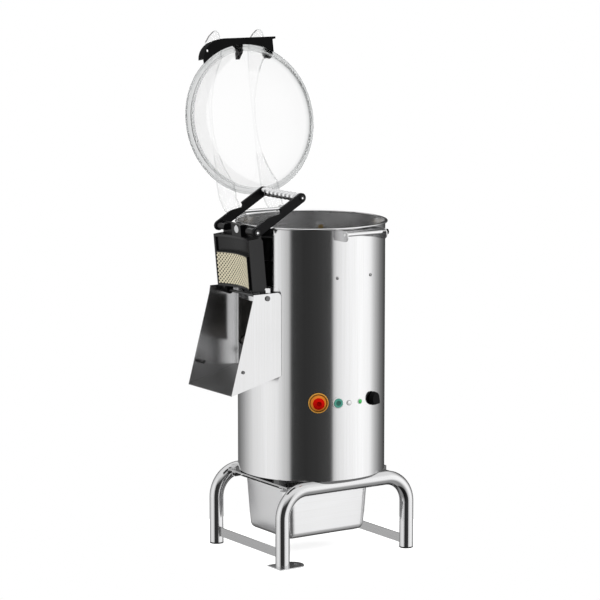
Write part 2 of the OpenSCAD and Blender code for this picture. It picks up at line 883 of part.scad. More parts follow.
module timer_knob() {
    nose = knob_r + 8;
    flank = acos(knob_r / nose);
    color("black") on_tub(timer_a, timer_z) {
        translate([0, 0, 2.5]) rotate([0, 0, -38]) linear_extrude(knob_h) {
            circle(knob_r);
            polygon([[0, 0], [knob_r * cos(flank), knob_r * sin(flank)], [nose, 2],
                     [nose, -2], [knob_r * cos(flank), -knob_r * sin(flank)]]);
        }
        translate([0, 0, -20]) cylinder(h = 24, r = timer_shaft_r);
    }
}

module timer_body() {
    color("dimgray") on_tub(timer_a, timer_z) difference() {
        union() {
            translate([0, 0, -32]) cylinder(h = 29.4, r = 18);
            translate([0, 0, -3]) cylinder(h = 4.8, r = timer_bush_r);
        }
        translate([0, 0, -22]) cylinder(h = 30, r = timer_shaft_r + fit);
    }
}

module front_screws() {
    color("silver") for (a = screw_angles) on_tub(a, screw_z) {
        translate([0, 0, 0.1]) cylinder(h = 2.6, r = 4.5);
        translate([0, 0, -6]) cylinder(h = 7, r = 2.4);
    }
}

// ---- Front latch bar ----

// One D-shaped cheek that carries the rod, from x to x + bracket_t
module cheek(x) {
    translate([x, -rod_y, bracket_z]) rotate([90, 0, 90]) linear_extrude(bracket_t)
        difference() {
            union() {
                circle(bracket_r);
                translate([0, -bracket_r]) square([rod_out + 50, 2 * bracket_r]);
            }
            translate([0, rod_z - bracket_z]) circle(rod_r + 0.1);
        }
}

module latch_brackets() {
    strip_y = rim_r + 2.5;
    color("silver") difference() {
        union() {
            cheek(rod_left);
            cheek(bracket_right);
            translate([rod_left, -strip_y - 2.5, bracket_z - 2])
                cube([bracket_right + bracket_t - rod_left, 2.5, 11]);
        }
        cylinder(h = rim_top + over, r = tub_r + seat, $fn = fine);
        translate([0, 0, tub_top - 0.4]) cylinder(h = 20, r = rim_r + 0.4, $fn = fine);
    }
}

module latch_rod() {
    color("silver") along_x(-rod_y, rod_z, rod_r, rod_left, rod_right);
}

module rod_cap() {
    color("black") difference() {
        along_x(-rod_y, rod_z, rod_r + 2.5, rod_right - 4, rod_right + 5);
        along_x(-rod_y, rod_z, rod_r + 0.1, rod_right - 5, rod_right + 0.1);
    }
}

// ---- Lid ----

module lid_dome() {
    color("azure", 0.4) at_lid() difference() {
        union() {
            intersection() {
                translate([0, 0, dome_z]) sphere(dome_r, $fn = 96);
                translate([0, 0, lid_low]) cylinder(h = dome_h + over, r = lid_r);
            }
            translate([0, 0, lid_low]) cylinder(h = lid_flange_t, r = lid_r, $fn = 96);
            translate([0, 0, lid_low]) cylinder(h = step_top - lid_low, r = step_r, $fn = 96);
            translate([0, 0, lid_low - collar_h]) cylinder(h = collar_h + 1, r = collar_r, $fn = 96);
        }
        translate([0, 0, dome_z]) sphere(dome_r - clear_t, $fn = 96);
        translate([0, 0, lid_low - collar_h - over])
            cylinder(h = collar_h + 2 * over, r = collar_r - clear_t - 0.8, $fn = 96);
    }
}

// Side outline of a rib plate: u runs from the hinge to the free edge, v runs up
function rib_outline() = [
    [-9, -4], [-6, 20], [1, 50], [5, 65], [12, 73], [23, 80], [46, 92], [89, 98], [150, 101.5],
    [lid_far - 82.5, 101.5], [lid_far - 22.5, 96], [lid_far + 18.5, 84], [lid_far + 33.5, 62],
    [lid_far + 42.5, 39], [lid_far + 43.5, 25], [lid_far + 36.5, 14], [lid_far + 24.5, 8.4],
    [lid_far - 1.5, 8.4], [lid_far - 22.5, 4], [60, 4], [40, 7], [28, -2], [9, -8], [0, -10]];

module lid_ribs() {
    color("azure", 0.4) at_lid() difference() {
        for (side = [-1, 1]) translate([side * rib_x - rib_t / 2, lid_hinge_y, hinge_z])
            rotate([90, 0, 90]) linear_extrude(rib_t) {
                scale([-1, 1]) polygon(rib_outline());
                circle(rib_eye_r);
            }
        along_x(lid_hinge_y, hinge_z, lid_pin_r + fit, -rib_x - rib_t, rib_x + rib_t);
        translate([0, 0, dome_z]) sphere(dome_r + 0.15, $fn = 96);
        cylinder(h = lid_flange_top, r = lid_r + 0.4, $fn = 96);
        cylinder(h = step_top, r = step_r + 0.2, $fn = 96);
    }
}

// The lid handle's outline in X and u: a bar whose left end drops in a quarter round
module handle_outline(t) {
    far = lid_far + handle_front - t;
    side = -62 - handle_left;
    polygon(concat(
        [[handle_right - t - 4, handle_back], [handle_right - t, far - 5], [handle_right - t, far]],
        [for (i = [0:8]) let (a = 90 + 90 * i / 8)
            [-62 + (side - t) * cos(a), handle_back + 1 + (far - handle_back - 1) * sin(a)]],
        [[handle_left + t, handle_back - 15]]));
}

// A block of the lid handle from v0 to v1, drawn in X and u
module handle_slab(v0, v1) {
    translate([0, lid_hinge_y, hinge_z + v0]) scale([1, -1, 1]) linear_extrude(v1 - v0)
        children();
}

module lid_handle() {
    color("black") at_lid() difference() {
        union() {
            handle_slab(0, handle_wall) handle_outline(0);
            handle_slab(0, 30) difference() {
                handle_outline(0);
                handle_outline(5);
                translate([handle_left - over, handle_back - 25])
                    square([handle_right - handle_left + 2 * over, 26]);
            }
            for (leg = [leg_1, leg_2]) handle_slab(0, 34)
                translate([leg[0], handle_back]) square([leg[1] - leg[0], handle_front + 35.5]);
            handle_slab(0, 12) polygon([
                [-42, lid_far + 5.5], [-10, lid_far + 5.5], [-10, lid_far - 18.5]]);
            handle_slab(0, 12) polygon([
                [75, lid_far - 0.5], [84, lid_far + 3.5], [84, lid_far - 22.5]]);
        }
        difference() {
            cylinder(h = rim_top + 60, r = lid_r + 0.6, $fn = 96);
            translate([0, 0, lid_flange_top]) cylinder(h = 80, r = lid_r + 2, $fn = 96);
        }
        cylinder(h = step_top, r = step_r + 0.2, $fn = 96);
        translate([0, 0, dome_z]) sphere(dome_r + 0.15, $fn = 96);
        for (side = [-1, 1]) translate([side * rib_x - rib_t / 2 - gap, -tub_r - 100, hinge_z + 8.1])
            cube([rib_t + 2 * gap, 200, 60]);
        handle_slab(-over, handle_wall + over) translate([handle_left + 15, lid_far - 13.5]) circle(4);
        handle_slab(-over, 60) translate([leg_2[1], handle_back - 60])
            square([60, lid_far + handle_front - handle_tip_t - handle_back + 60]);
    }
}

module handle_screws() {
    color("silver") at_lid() for (x = [-5, 90]) for (u = [lid_far - 26.5, lid_far - 0.5])
        translate([x, lid_hinge_y - u, hinge_z + 34]) cylinder(h = 2.5, r = 4);
}

module lid_hinge_pin() {
    out = rib_x + rib_t / 2 + gap;
    color("silver") {
        along_x(lid_hinge_y, hinge_z, lid_pin_r, -out - 6, out + 6);
        for (x = [-out - 8, out]) along_x(lid_hinge_y, hinge_z, lid_pin_r + 3, x, x + 8);
    }
}

// Hinge ears that carry the lid, on a plate at the back of the tub
module hinge_bracket() {
    plate_t = 3;
    low = rim_top - 52;
    color("silver") difference() {
        union() {
            translate([-ear_out, tub_r + seat, low])
                cube([2 * ear_out, plate_t, tub_top - 1 - low]);
            for (x = [-ear_out, ear_out - ear_t]) translate([x, 0, 0]) rotate([90, 0, 90])
                linear_extrude(ear_t) {
                    polygon([[tub_r + seat, low], [lid_hinge_y, hinge_z - 22],
                             [lid_hinge_y + 9, hinge_z - 5], [lid_hinge_y - 9, hinge_z + 5],
                             [tub_r + 20, tub_top - 1], [tub_r + seat, tub_top - 1]]);
                    translate([lid_hinge_y, hinge_z]) circle(rib_eye_r);
                }
        }
        along_x(lid_hinge_y, hinge_z, lid_pin_r + 0.1, -ear_out - over, ear_out + over);
    }
}

// ---- Discharge door and chute ----

// Outline of the door's side view, in X and Z, with the door shut
module door_side() {
    back = -tub_r - door_back;
    polygon([[back, door_low + 8], [back + 6, door_low], [door_depth, door_low],
             [door_depth, door_high], [back + 10, door_high], [back, door_high - 10]]);
}

// Space in front of the pivot block's back plate, around its three lobes
module block_recess() {
    plate_x = -tub_r - door_back + block_plate;
    low = pivot_z - pivot_lobe_r - 5;
    difference() {
        translate([plate_x, -door_half - over, low]) cube([80, door_w + 2 * over, door_low - low]);
        translate([plate_x - over, -magnet_lobe, low - over]) cube([82, 2 * magnet_lobe, 60]);
        for (side = [-1, 1]) scale([1, side, 1]) {
            along_y(pivot_x, pivot_z, pivot_lobe_r, door_half - pivot_lobe_l, door_half + 1);
            translate([plate_x - over, door_half - pivot_lobe_l, pivot_z - pivot_lobe_r])
                cube([pivot_x - plate_x + over, pivot_lobe_l + 1, 2 * pivot_lobe_r]);
        }
    }
}

module door_casting() {
    back = -tub_r - door_back;
    inside = door_half - door_wall;
    color("black") at_door() difference() {
        union() {
            difference() {
                plate_y(-door_half, door_half) door_side();
                difference() {
                    translate([back - over, -inside, door_low + door_wall])
                        cube([90, 2 * inside, door_high - door_low - 2 * door_wall]);
                    cylinder(h = door_high + over, r = door_plate_r, $fn = 96);
                    for (y = [-27, 27]) translate([back + 4, y - 2, door_low])
                        cube([60, 4, door_high - door_low]);
                    translate([back + 4, -inside, (door_low + door_high) / 2 - 2])
                        cube([60, 2 * inside, 4]);
                }
                cylinder(h = door_high + over, r = door_face_r, $fn = 96);
                intersection() {
                    translate([-tub_r - 40, -inside, door_low + 8])
                        cube([100, 2 * inside, recess_h]);
                    cylinder(h = door_high, r = door_face_r + 5, $fn = 96);
                }
            }
            difference() {
                intersection() {
                    translate([-tub_r - 5, -plug_w / 2, plug_low])
                        cube([60, plug_w, plug_high - plug_low]);
                    cylinder(h = door_high, r = door_face_r + 1, $fn = 96);
                }
                cylinder(h = door_high, r = pad_face_r, $fn = 96);
                intersection() {
                    translate([-tub_r, -pad_w / 2 - 0.1, plug_low + 3])
                        cube([60, pad_w + 0.2, pad_h + 0.2]);
                    cylinder(h = door_high, r = pad_face_r + pad_t, $fn = 96);
                }
            }
            difference() {
                plate_y(-door_half + over, door_half - over) union() {
                    polygon([[back + 3, door_low + 4], [back + 3, pivot_z - 4], [back + 10, pivot_z - 13],
                             [door_depth, pivot_z - 13], [door_depth, door_low + 4]]);
                }
                cylinder(h = door_high, r = door_face_r, $fn = 96);
                block_recess();
            }
            for (y = [-door_half, door_half - lug_t]) plate_y(y, y + lug_t) {
                translate([door_x, door_z]) circle(lug_r);
                polygon([[door_x - lug_r, door_z], [door_x + lug_r - 1, door_z],
                         [door_x + lug_r - 1, door_high - 2], [door_x - lug_r, door_high - 2]]);
            }
            for (side = [-1, 1]) along_y(door_x, door_z, bush_r,
                min(side * (door_half - over), side * (chute_in - gap)),
                max(side * (door_half - over), side * (chute_in - gap)));
        }
        along_y(door_x, door_z, hinge_pin_r + fit, -chute_w, chute_w);
        for (side = [-1, 1]) scale([1, side, 1])
            along_y(pivot_x, pivot_z, arm_pin_r + 0.05, door_half - 30, door_half + over);
        translate([-tub_r - 7, 0, pivot_z]) rotate([0, 90, 0]) scale([2, 1, 1])
            cylinder(h = 20, r = 5.7);
    }
}

// The abrasive pad set in the door, flush with the chamber's lining
module door_pad() {
    color("wheat") at_door() difference() {
        intersection() {
            translate([-tub_r, -pad_w / 2, plug_low + 3.1]) cube([60, pad_w, pad_h]);
            cylinder(h = door_high, r = pad_face_r + pad_t - 0.05, $fn = 96);
        }
        cylinder(h = door_high, r = pad_face_r, $fn = 96);
    }
}

module door_gasket() {
    inside = door_half - door_wall;
    color("black") at_door() difference() {
        intersection() {
            translate([-tub_r - 5, -door_half + 1, door_low + 1])
                cube([60, door_w - 2, door_high - door_low - 2]);
            cylinder(h = door_high, r = door_face_r - 0.05, $fn = 96);
        }
        cylinder(h = door_high + over, r = door_face_r - seal_t, $fn = 96);
        translate([-tub_r - 6, -inside - 0.5, door_low + 7])
            cube([80, 2 * inside + 1, door_high - door_low - 13]);
    }
}

// Oval magnet in the middle of the handle's pivot block
module door_magnet() {
    color("white") at_door() translate([-tub_r - 6.8, 0, pivot_z]) rotate([0, 90, 0])
        scale([2, 1, 1]) cylinder(h = 6, r = 5.5);
}

module door_hinge_pin() {
    color("silver") {
        along_y(door_x, door_z, hinge_pin_r, -chute_half - 1, chute_half + 1);
        for (y = [-chute_half - 3, chute_half + 0.2]) along_y(door_x, door_z, hinge_pin_r + 3, y, y + 2.8);
    }
}

// Moves its children, drawn with the arm along +X from the pivot, to the folded handle
module at_arm() {
    at_door() translate([pivot_x, 0, pivot_z]) rotate([0, arm_axis_closed, 0]) children();
}

module handle_arms() {
    low = -arm_w / 2;
    color("black") at_arm() for (y = [arm_in, -arm_out]) plate_y(y, y + arm_t) difference() {
        union() {
            circle(arm_w / 2);
            translate([arm_l, 0]) circle(arm_w / 2);
            translate([0, low]) square([arm_l, arm_w]);
        }
        circle(arm_pin_r + fit);
        translate([arm_l, 0]) circle(4.1);
        scale([1, -1]) {
            translate([latch_reach, -latch_drop]) circle(notch_r);
            polygon([
                [latch_reach + notch_in, -latch_drop], [latch_reach + notch_in, low - over],
                [latch_reach - notch_mouth, low - over],
                [latch_reach - notch_in * sin(notch_lean), -latch_drop + notch_in * cos(notch_lean)]]);
        }
    }
}

module handle_grip() {
    half = arm_in - seat;
    color("silver") at_arm() {
        along_y(arm_l, 0, grip_d / 2 - 1, -half, half);
        for (i = [-3:3]) along_y(arm_l, 0, grip_d / 2 + 0.5, 14 * i - 3, 14 * i + 3);
        for (side = [-1, 1]) along_y(arm_l, 0, grip_d / 2,
            side > 0 ? half - 26 : -half, side > 0 ? half : -half + 26);
        along_y(arm_l, 0, 4, -arm_out - 2, arm_out + 2);
        for (y = [-arm_out - 4, arm_out + seat]) along_y(arm_l, 0, 6.5, y, y + 3.8);
    }
}

module arm_pivot_bolts() {
    color("dimgray") at_door() for (side = [-1, 1]) scale([1, side, 1]) {
        along_y(pivot_x, pivot_z, arm_pin_r, door_half - 24, arm_out + 2);
        along_y(pivot_x, pivot_z, 8, door_half + seat - over, arm_in - gap);
        along_y(pivot_x, pivot_z, 8.5, arm_out + gap, arm_out + 4.5);
    }
}

module latch_pins() {
    color("silver") for (side = [-1, 1]) scale([1, side, 1]) {
        along_y(pin_x, pin_z, latch_pin_r, arm_in - 2, chute_in - 0.1);
        along_y(pin_x, pin_z, 3, chute_in - over, chute_half + 1);
        along_y(pin_x, pin_z, 4.5, chute_half + 0.1, chute_half + 2.8);
    }
}

// Side outline of the chute, in X and Z
module chute_side() {
    corner = 12;
    polygon(concat(
        [[chute_front + 2, chute_top], [chute_front - 1, door_z - 6], [lip_x, lip_z],
         [chute_back, chute_low], [chute_back, chute_top - corner]],
        [for (a = [0:15:90])
            [chute_back - corner + corner * cos(a), chute_top - corner + corner * sin(a)]]));
}

module discharge_chute() {
    color("gainsboro") difference() {
        union() {
            for (side = [-1, 1]) scale([1, side, 1]) plate_y(chute_in, chute_half) chute_side();
            plate_y(-chute_in - sheet / 2, chute_in + sheet / 2) polygon([
                [lip_x, lip_z], [door_depth, chute_low + 6.7],
                [door_depth, chute_low + 6.7 + sheet],
                [lip_x - 0.4, lip_z + sheet]]);
        }
        cylinder(h = rim_top, r = tub_r + seat, $fn = 96);
        along_y(door_x, door_z, hinge_pin_r + 0.1, -chute_w, chute_w);
        along_y(pin_x, pin_z, 3.1, -chute_w, chute_w);
    }
}

front_frame_tube();
rear_frame_tube();
low_bars();
frame_ties();
pan_rails();
foot_caps();
floor_flange();
drip_pan();
tub_shell();
rim_ring();
base_plate();
frame_spacers();
mount_bolts();
chamber_floor();
wall_liner();
abrasive_disc();
drive_shaft();
bearing_housing();
shaft_bearings();
shaft_seal();
driven_pulley();
drive_belt();
motor_body();
motor_shaft();
motor_pulley();
motor_bracket();
drain_pipe();
water_inlet();
spray_nozzle();
cable_gland();
control_box();
estop_collar();
estop_button();
start_bezel();
start_button();
lamp_bezels();
white_lens();
green_lens();
timer_knob();
timer_body();
front_screws();
latch_brackets();
latch_rod();
rod_cap();
lid_dome();
lid_ribs();
lid_handle();
handle_screws();
lid_hinge_pin();
hinge_bracket();
door_casting();
door_pad();
door_gasket();
door_magnet();
door_hinge_pin();
handle_arms();
handle_grip();
arm_pivot_bolts();
latch_pins();
discharge_chute();
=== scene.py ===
import json
import math

import bmesh
import bpy
from bmesh.types import BMEdge, BMVert
from bpy.props import FloatProperty, FloatVectorProperty, IntProperty, PointerProperty
from mathutils import Matrix, Vector


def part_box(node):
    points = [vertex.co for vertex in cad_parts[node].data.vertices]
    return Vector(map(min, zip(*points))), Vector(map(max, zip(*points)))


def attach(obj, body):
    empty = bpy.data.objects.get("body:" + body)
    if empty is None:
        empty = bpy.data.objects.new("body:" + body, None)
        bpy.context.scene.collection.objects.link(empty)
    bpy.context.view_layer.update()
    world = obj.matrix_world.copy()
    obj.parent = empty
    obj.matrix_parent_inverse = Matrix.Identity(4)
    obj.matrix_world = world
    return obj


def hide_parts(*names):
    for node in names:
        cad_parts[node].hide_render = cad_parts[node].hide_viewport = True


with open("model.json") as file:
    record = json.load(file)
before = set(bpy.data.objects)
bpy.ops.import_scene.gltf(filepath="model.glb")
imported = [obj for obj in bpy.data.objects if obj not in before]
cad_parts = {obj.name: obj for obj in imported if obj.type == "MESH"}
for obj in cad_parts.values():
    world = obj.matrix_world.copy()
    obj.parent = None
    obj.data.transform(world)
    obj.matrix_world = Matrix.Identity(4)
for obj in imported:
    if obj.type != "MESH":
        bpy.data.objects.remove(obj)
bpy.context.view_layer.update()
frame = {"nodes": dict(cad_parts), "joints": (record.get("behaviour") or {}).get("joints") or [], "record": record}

bl_info = {
    "name": "Potato Peeler Dresser",
    "version": (1, 0, 0),
    "blender": (4, 5, 0),
    "location": "View3D > Sidebar > Peeler",
    "description": "Dresses the packed potato peeler with rounded pieces, finishes and a studio",
    "category": "Object",
}

MM = 0.001
NODE_BODY = {n: b for b, ns in frame["record"]["behaviour"]["bodies"].items() for n in ns}
NODE_SLOT = {s["node"]: s["material_slot"] for s in frame["record"]["subparts"]}
JOINTS = {j["name"]: j for j in frame["joints"]}

TUB_LOW, TUB_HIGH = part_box("tub_shell")
TUB_R = TUB_HIGH.x
RIM_LOW, RIM_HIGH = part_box("rim_ring")
TUBE_LOW, TUBE_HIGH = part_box("front_frame_tube")
LID_PIVOT = Vector(JOINTS["lid_hinge"]["pos_m"])
LID_OPEN = math.radians(JOINTS["lid_hinge"]["range_deg"][1])
DOOR_PIVOT = Vector(JOINTS["door_flip"]["pos_m"])
DOOR_OPEN = math.radians(JOINTS["door_flip"]["range_deg"][1])
ARM_PIVOT = Vector(JOINTS["handle_fold"]["pos_m"])

SHEET = 1.5 * MM
LID_R = 209 * MM
LID_Z = RIM_HIGH.z + 0.4 * MM
DOME_H = 100.6 * MM
DOME_INSET = 12.9 * MM
FEET_SUNK = 0.9 * MM
RIB_SPAN = 500
RIB_FADE = ((0, 1), (135, 1), (150, 0.2), (370, 0.2), (385, 1), (RIB_SPAN, 1))

CAMERA_AZIMUTH = -33.669
CAMERA_ELEVATION = 8.811
CAMERA_DISTANCE = 7.538
CAMERA_SIDE = -0.0304
CAMERA_HEIGHT = 0.68065
CAMERA_LENS = 166.76
LAMP_TARGET_Z = 0.6

CONTROL_Z = TUB_LOW.z + 209 * MM
ESTOP_ANGLE = -28.5
START_ANGLE = -13.1
WHITE_ANGLE = -3.6
GREEN_ANGLE = 6.7
TIMER_ANGLE = 20.8
ESTOP_Z = CONTROL_Z + 4.5 * MM
START_Z = CONTROL_Z + 2 * MM
TIMER_Z = CONTROL_Z + 2 * MM
SCREW_ANGLES = (-13.6, 18.2)
SCREW_Z = TUB_LOW.z + 546.5 * MM


# ---- Shader nodes ----

def feed(tree, socket, value):
    """Gives an input a value, or links it to another node's output."""
    if isinstance(value, bpy.types.NodeSocket):
        tree.links.new(value, socket)
    else:
        socket.default_value = value


def add_node(tree, kind, **inputs):
    """A shader node with its inputs fed, their names written as Base_Color and so on."""
    node = tree.nodes.new("ShaderNode" + kind)
    for key, value in inputs.items():
        feed(tree, node.inputs[key.replace("_", " ")], value)
    return node


def operator_node(tree, kind, operation, *values):
    """A node that has an operation, on sockets or values in order; gives its output socket."""
    node = tree.nodes.new(kind)
    node.operation = operation
    for socket, value in zip(node.inputs, values):
        feed(tree, socket, value)
    return node.outputs[0]


def math_node(tree, operation, *values):
    """A Math node's output."""
    return operator_node(tree, "ShaderNodeMath", operation, *values)


def mix_node(tree, factor, first, second):
    """The mix of two colours."""
    node = tree.nodes.new("ShaderNodeMix")
    node.data_type = "RGBA"
    for key, value in (("Factor", factor), ("A", first), ("B", second)):
        feed(tree, node.inputs[key], value)
    return node.outputs["Result"]


def ramp_node(tree, value, stops):
    """The colour that a value has between stops of (position, colour), in rising order."""
    node = add_node(tree, "ValToRGB", Fac=value)
    elements = node.color_ramp.elements
    elements[0].position = stops[0][0]
    elements[1].position = stops[-1][0]
    for position, _ in stops[1:-1]:
        elements.new(position)
    for element, (_, colour) in zip(elements, stops):
        element.color = (*colour, 1)
    return node.outputs["Color"]


def mesh_value(tree, name):
    """The value that a piece's mesh holds under a name."""
    mark = tree.nodes.new("ShaderNodeAttribute")
    mark.attribute_name = name
    return mark.outputs["Fac"]


def seen_directly(tree):
    """1 for rays from the camera and for rays through the clear pieces, 0 for the others."""
    path = tree.nodes.new("ShaderNodeLightPath")
    return math_node(tree, "MAXIMUM", path.outputs["Is Camera Ray"],
                     path.outputs["Is Transmission Ray"])


def principled(made):
    """A material's Principled BSDF."""
    return made.node_tree.nodes["Principled BSDF"]


# ---- Materials ----

def group_tree(name, inputs, outputs):
    """A new shader node group with its interface, its input node and its output node."""
    tree = bpy.data.node_groups.new(name, "ShaderNodeTree")
    for label, kind, value in inputs:
        socket = tree.interface.new_socket(label, in_out="INPUT", socket_type=kind)
        socket.default_value = value
    for label in outputs:
        tree.interface.new_socket(label, in_out="OUTPUT", socket_type="NodeSocketFloat")
    return tree, tree.nodes.new("NodeGroupInput"), tree.nodes.new("NodeGroupOutput")


def vary_roughness(tree, start, end, drift):
    """Puts out a group's roughness, moved by a drift times its spread."""
    spread = math_node(tree, "MULTIPLY", drift, start.outputs["Spread"])
    rough = math_node(tree, "ADD", spread, start.outputs["Roughness"])
    feed(tree, end.inputs["Roughness"], rough)


def grain_group():
    """Fine lines that run along one direction, as from a polishing belt."""
    tree, start, end = group_tree(
        "polish_grain",
        [("Vector", "NodeSocketVector", (0, 0, 0)), ("Stretch", "NodeSocketVector", (4, 4, 900)),
         ("Roughness", "NodeSocketFloat", 0.15), ("Spread", "NodeSocketFloat", 0.08)],
        ["Roughness", "Height"])
    stretched = operator_node(tree, "ShaderNodeVectorMath", "MULTIPLY",
                              start.outputs["Vector"], start.outputs["Stretch"])
    lines = add_node(tree, "TexNoise", Scale=1.0, Detail=3.0, Vector=stretched)
    cloud = add_node(tree, "TexNoise", Scale=9.0, Detail=2.0, Vector=start.outputs["Vector"])
    centred = math_node(tree, "SUBTRACT", lines.outputs["Fac"], 0.5)
    drift = math_node(tree, "SUBTRACT", cloud.outputs["Fac"], 0.5)
    vary_roughness(tree, start, end, math_node(tree, "ADD", centred, drift))
    feed(tree, end.inputs["Height"], lines.outputs["Fac"])


def pebble_group():
    """The small bumps of a casting's skin or of moulded plastic, and a slow drift of its gloss."""
    tree, start, end = group_tree(
        "pebble_skin",
        [("Vector", "NodeSocketVector", (0, 0, 0)), ("Size", "NodeSocketFloat", 700.0),
         ("Roughness", "NodeSocketFloat", 0.4), ("Spread", "NodeSocketFloat", 0.15)],
        ["Roughness", "Height", "Mask"])
    fine = add_node(tree, "TexNoise", Scale=start.outputs["Size"], Detail=2.0,
                    Vector=start.outputs["Vector"])
    slow = add_node(tree, "TexNoise", Scale=22.0, Detail=4.0, Vector=start.outputs["Vector"])
    vary_roughness(tree, start, end, math_node(tree, "SUBTRACT", slow.outputs["Fac"], 0.5))
    feed(tree, end.inputs["Height"], fine.outputs["Fac"])
    feed(tree, end.inputs["Mask"], slow.outputs["Fac"])


def shared_group(name):
    """The shader node group of that name, built once."""
    if name not in bpy.data.node_groups:
        {"polish_grain": grain_group, "pebble_skin": pebble_group}[name]()
    return bpy.data.node_groups[name]


def plain_material(**sockets):
    """A material whose Principled BSDF holds the values given, written as Base_Color and so on."""
    made = bpy.data.materials.new("finish")
    made.use_nodes = True
    for key, value in sockets.items():
        principled(made).inputs[key.replace("_", " ")].default_value = value
    return made


def add_skin(made, group, bump, **values):
    """Places a shared group in a material, on Object coordinates, for its roughness and bump."""
    tree = made.node_tree
    place = tree.nodes.new("ShaderNodeTexCoord")
    skin = tree.nodes.new("ShaderNodeGroup")
    skin.node_tree = shared_group(group)
    feed(tree, skin.inputs["Vector"], place.outputs["Object"])
    for key, value in values.items():
        feed(tree, skin.inputs[key], value)
    raised = add_node(tree, "Bump", Strength=bump, Distance=0.2 * MM,
                      Height=skin.outputs["Height"])
    feed(tree, principled(made).inputs["Roughness"], skin.outputs["Roughness"])
    feed(tree, principled(made).inputs["Normal"], raised.outputs["Normal"])
    return skin


def tint_by(made, value, dark, light, low=0.35, high=0.65):
    """Colours a material between two shades, as a value goes from low to high."""
    colour = ramp_node(made.node_tree, value, ((low, dark), (high, light)))
    feed(made.node_tree, principled(made).inputs["Base Color"], colour)


def shade(colour, factor):
    """A colour made lighter or darker."""
    return tuple(min(1.0, c * factor) for c in colour[:3])


def metal(dark, light, roughness, spread, stretch, bump=0.05):
    """A metal between two tones, with its polishing lines."""
    made = plain_material(Base_Color=(*light, 1), Metallic=1.0)
    skin = add_skin(made, "polish_grain", bump, Stretch=stretch, Roughness=roughness,
                    Spread=spread)
    tint_by(made, skin.outputs["Height"], dark, light)
    return made


def steel(tone, *values):
    """Stainless steel, a trace bluer than grey."""
    return metal((tone * 0.95,) * 3, (tone, tone, tone * 1.01), *values)


def coated(colour, roughness, size, bump, lift=1.35, gloss=0.14, **sockets):
    """Paint, plastic or rubber with a pebbled skin and a slight drift of colour."""
    made = plain_material(Specular_IOR_Level=gloss, **sockets)
    skin = add_skin(made, "pebble_skin", bump, Size=size, Roughness=roughness, Spread=0.15)
    tint_by(made, skin.outputs["Mask"], shade(colour, 1 / lift), shade(colour, lift))
    return made


def clear_plastic():
    """Clear sheet with a few rubbed patches, and painted shade: greyer where a piece marks its thick or edge-on
    parts.
    """
    made = plain_material(IOR=1.22, Transmission_Weight=1.0, Alpha=0.86)
    add_skin(made, "pebble_skin", 0.0, Size=60.0, Roughness=0.02, Spread=0.03)
    edge = mesh_value(made.node_tree, "edge")
    # painted shade: the edge value greys the lid's rim, its collar, the ribs' sides and a soft band of the dome
    # near its rim
    tint_by(made, edge, (0.985, 0.985, 0.985), (0.56, 0.57, 0.57), 0, 1)
    return made


def clear_rib():
    """Clear plastic that all but vanishes where a rib lies along the back of the dome."""
    made = clear_plastic()
    tree = made.node_tree
    place = tree.nodes.new("ShaderNodeTexCoord")
    split = add_node(tree, "SeparateXYZ", Vector=place.outputs["Object"])
    along = add_node(tree, "MapRange", From_Min=LID_PIVOT.z,
                     From_Max=LID_PIVOT.z + RIB_SPAN * MM, Value=split.outputs["Z"])
    fade = ramp_node(tree, along.outputs["Result"],
                     [(height / RIB_SPAN, (level,) * 3) for height, level in RIB_FADE])
    body = math_node(tree, "MULTIPLY", mesh_value(tree, "edge"), 0.7)
    body = math_node(tree, "ADD", body, 0.12)
    feed(tree, principled(made).inputs["Alpha"], math_node(tree, "MULTIPLY", body, fade))
    return made


def shaded_ridge_pad(colour):
    """Bonded grit with painted light: its ridges are painted bright as highlights and its valleys dark as shade.
    """
    made = coated(colour, 0.6, 1500.0, 0.4, lift=1.02)
    ridge_shading = mesh_value(made.node_tree, "ridge_shading")
    tint_by(made, ridge_shading, shade(colour, 0.05), shade(colour, 1.7), 0.22, 0.5)
    return made


def lamp_lens(colour, glow):
    """A lamp lens that is lit from behind."""
    return coated(colour, 0.15, 500.0, 0.02, lift=1.05, Coat_Weight=0.6,
                  Emission_Color=(*colour, 1), Emission_Strength=glow)


AROUND = (3, 3, 1400)
UPWARD = (500, 500, 3)
ACROSS = (5, 1100, 1100)
ALONG_Y = (1100, 5, 1100)
EVENLY = (300, 300, 300)


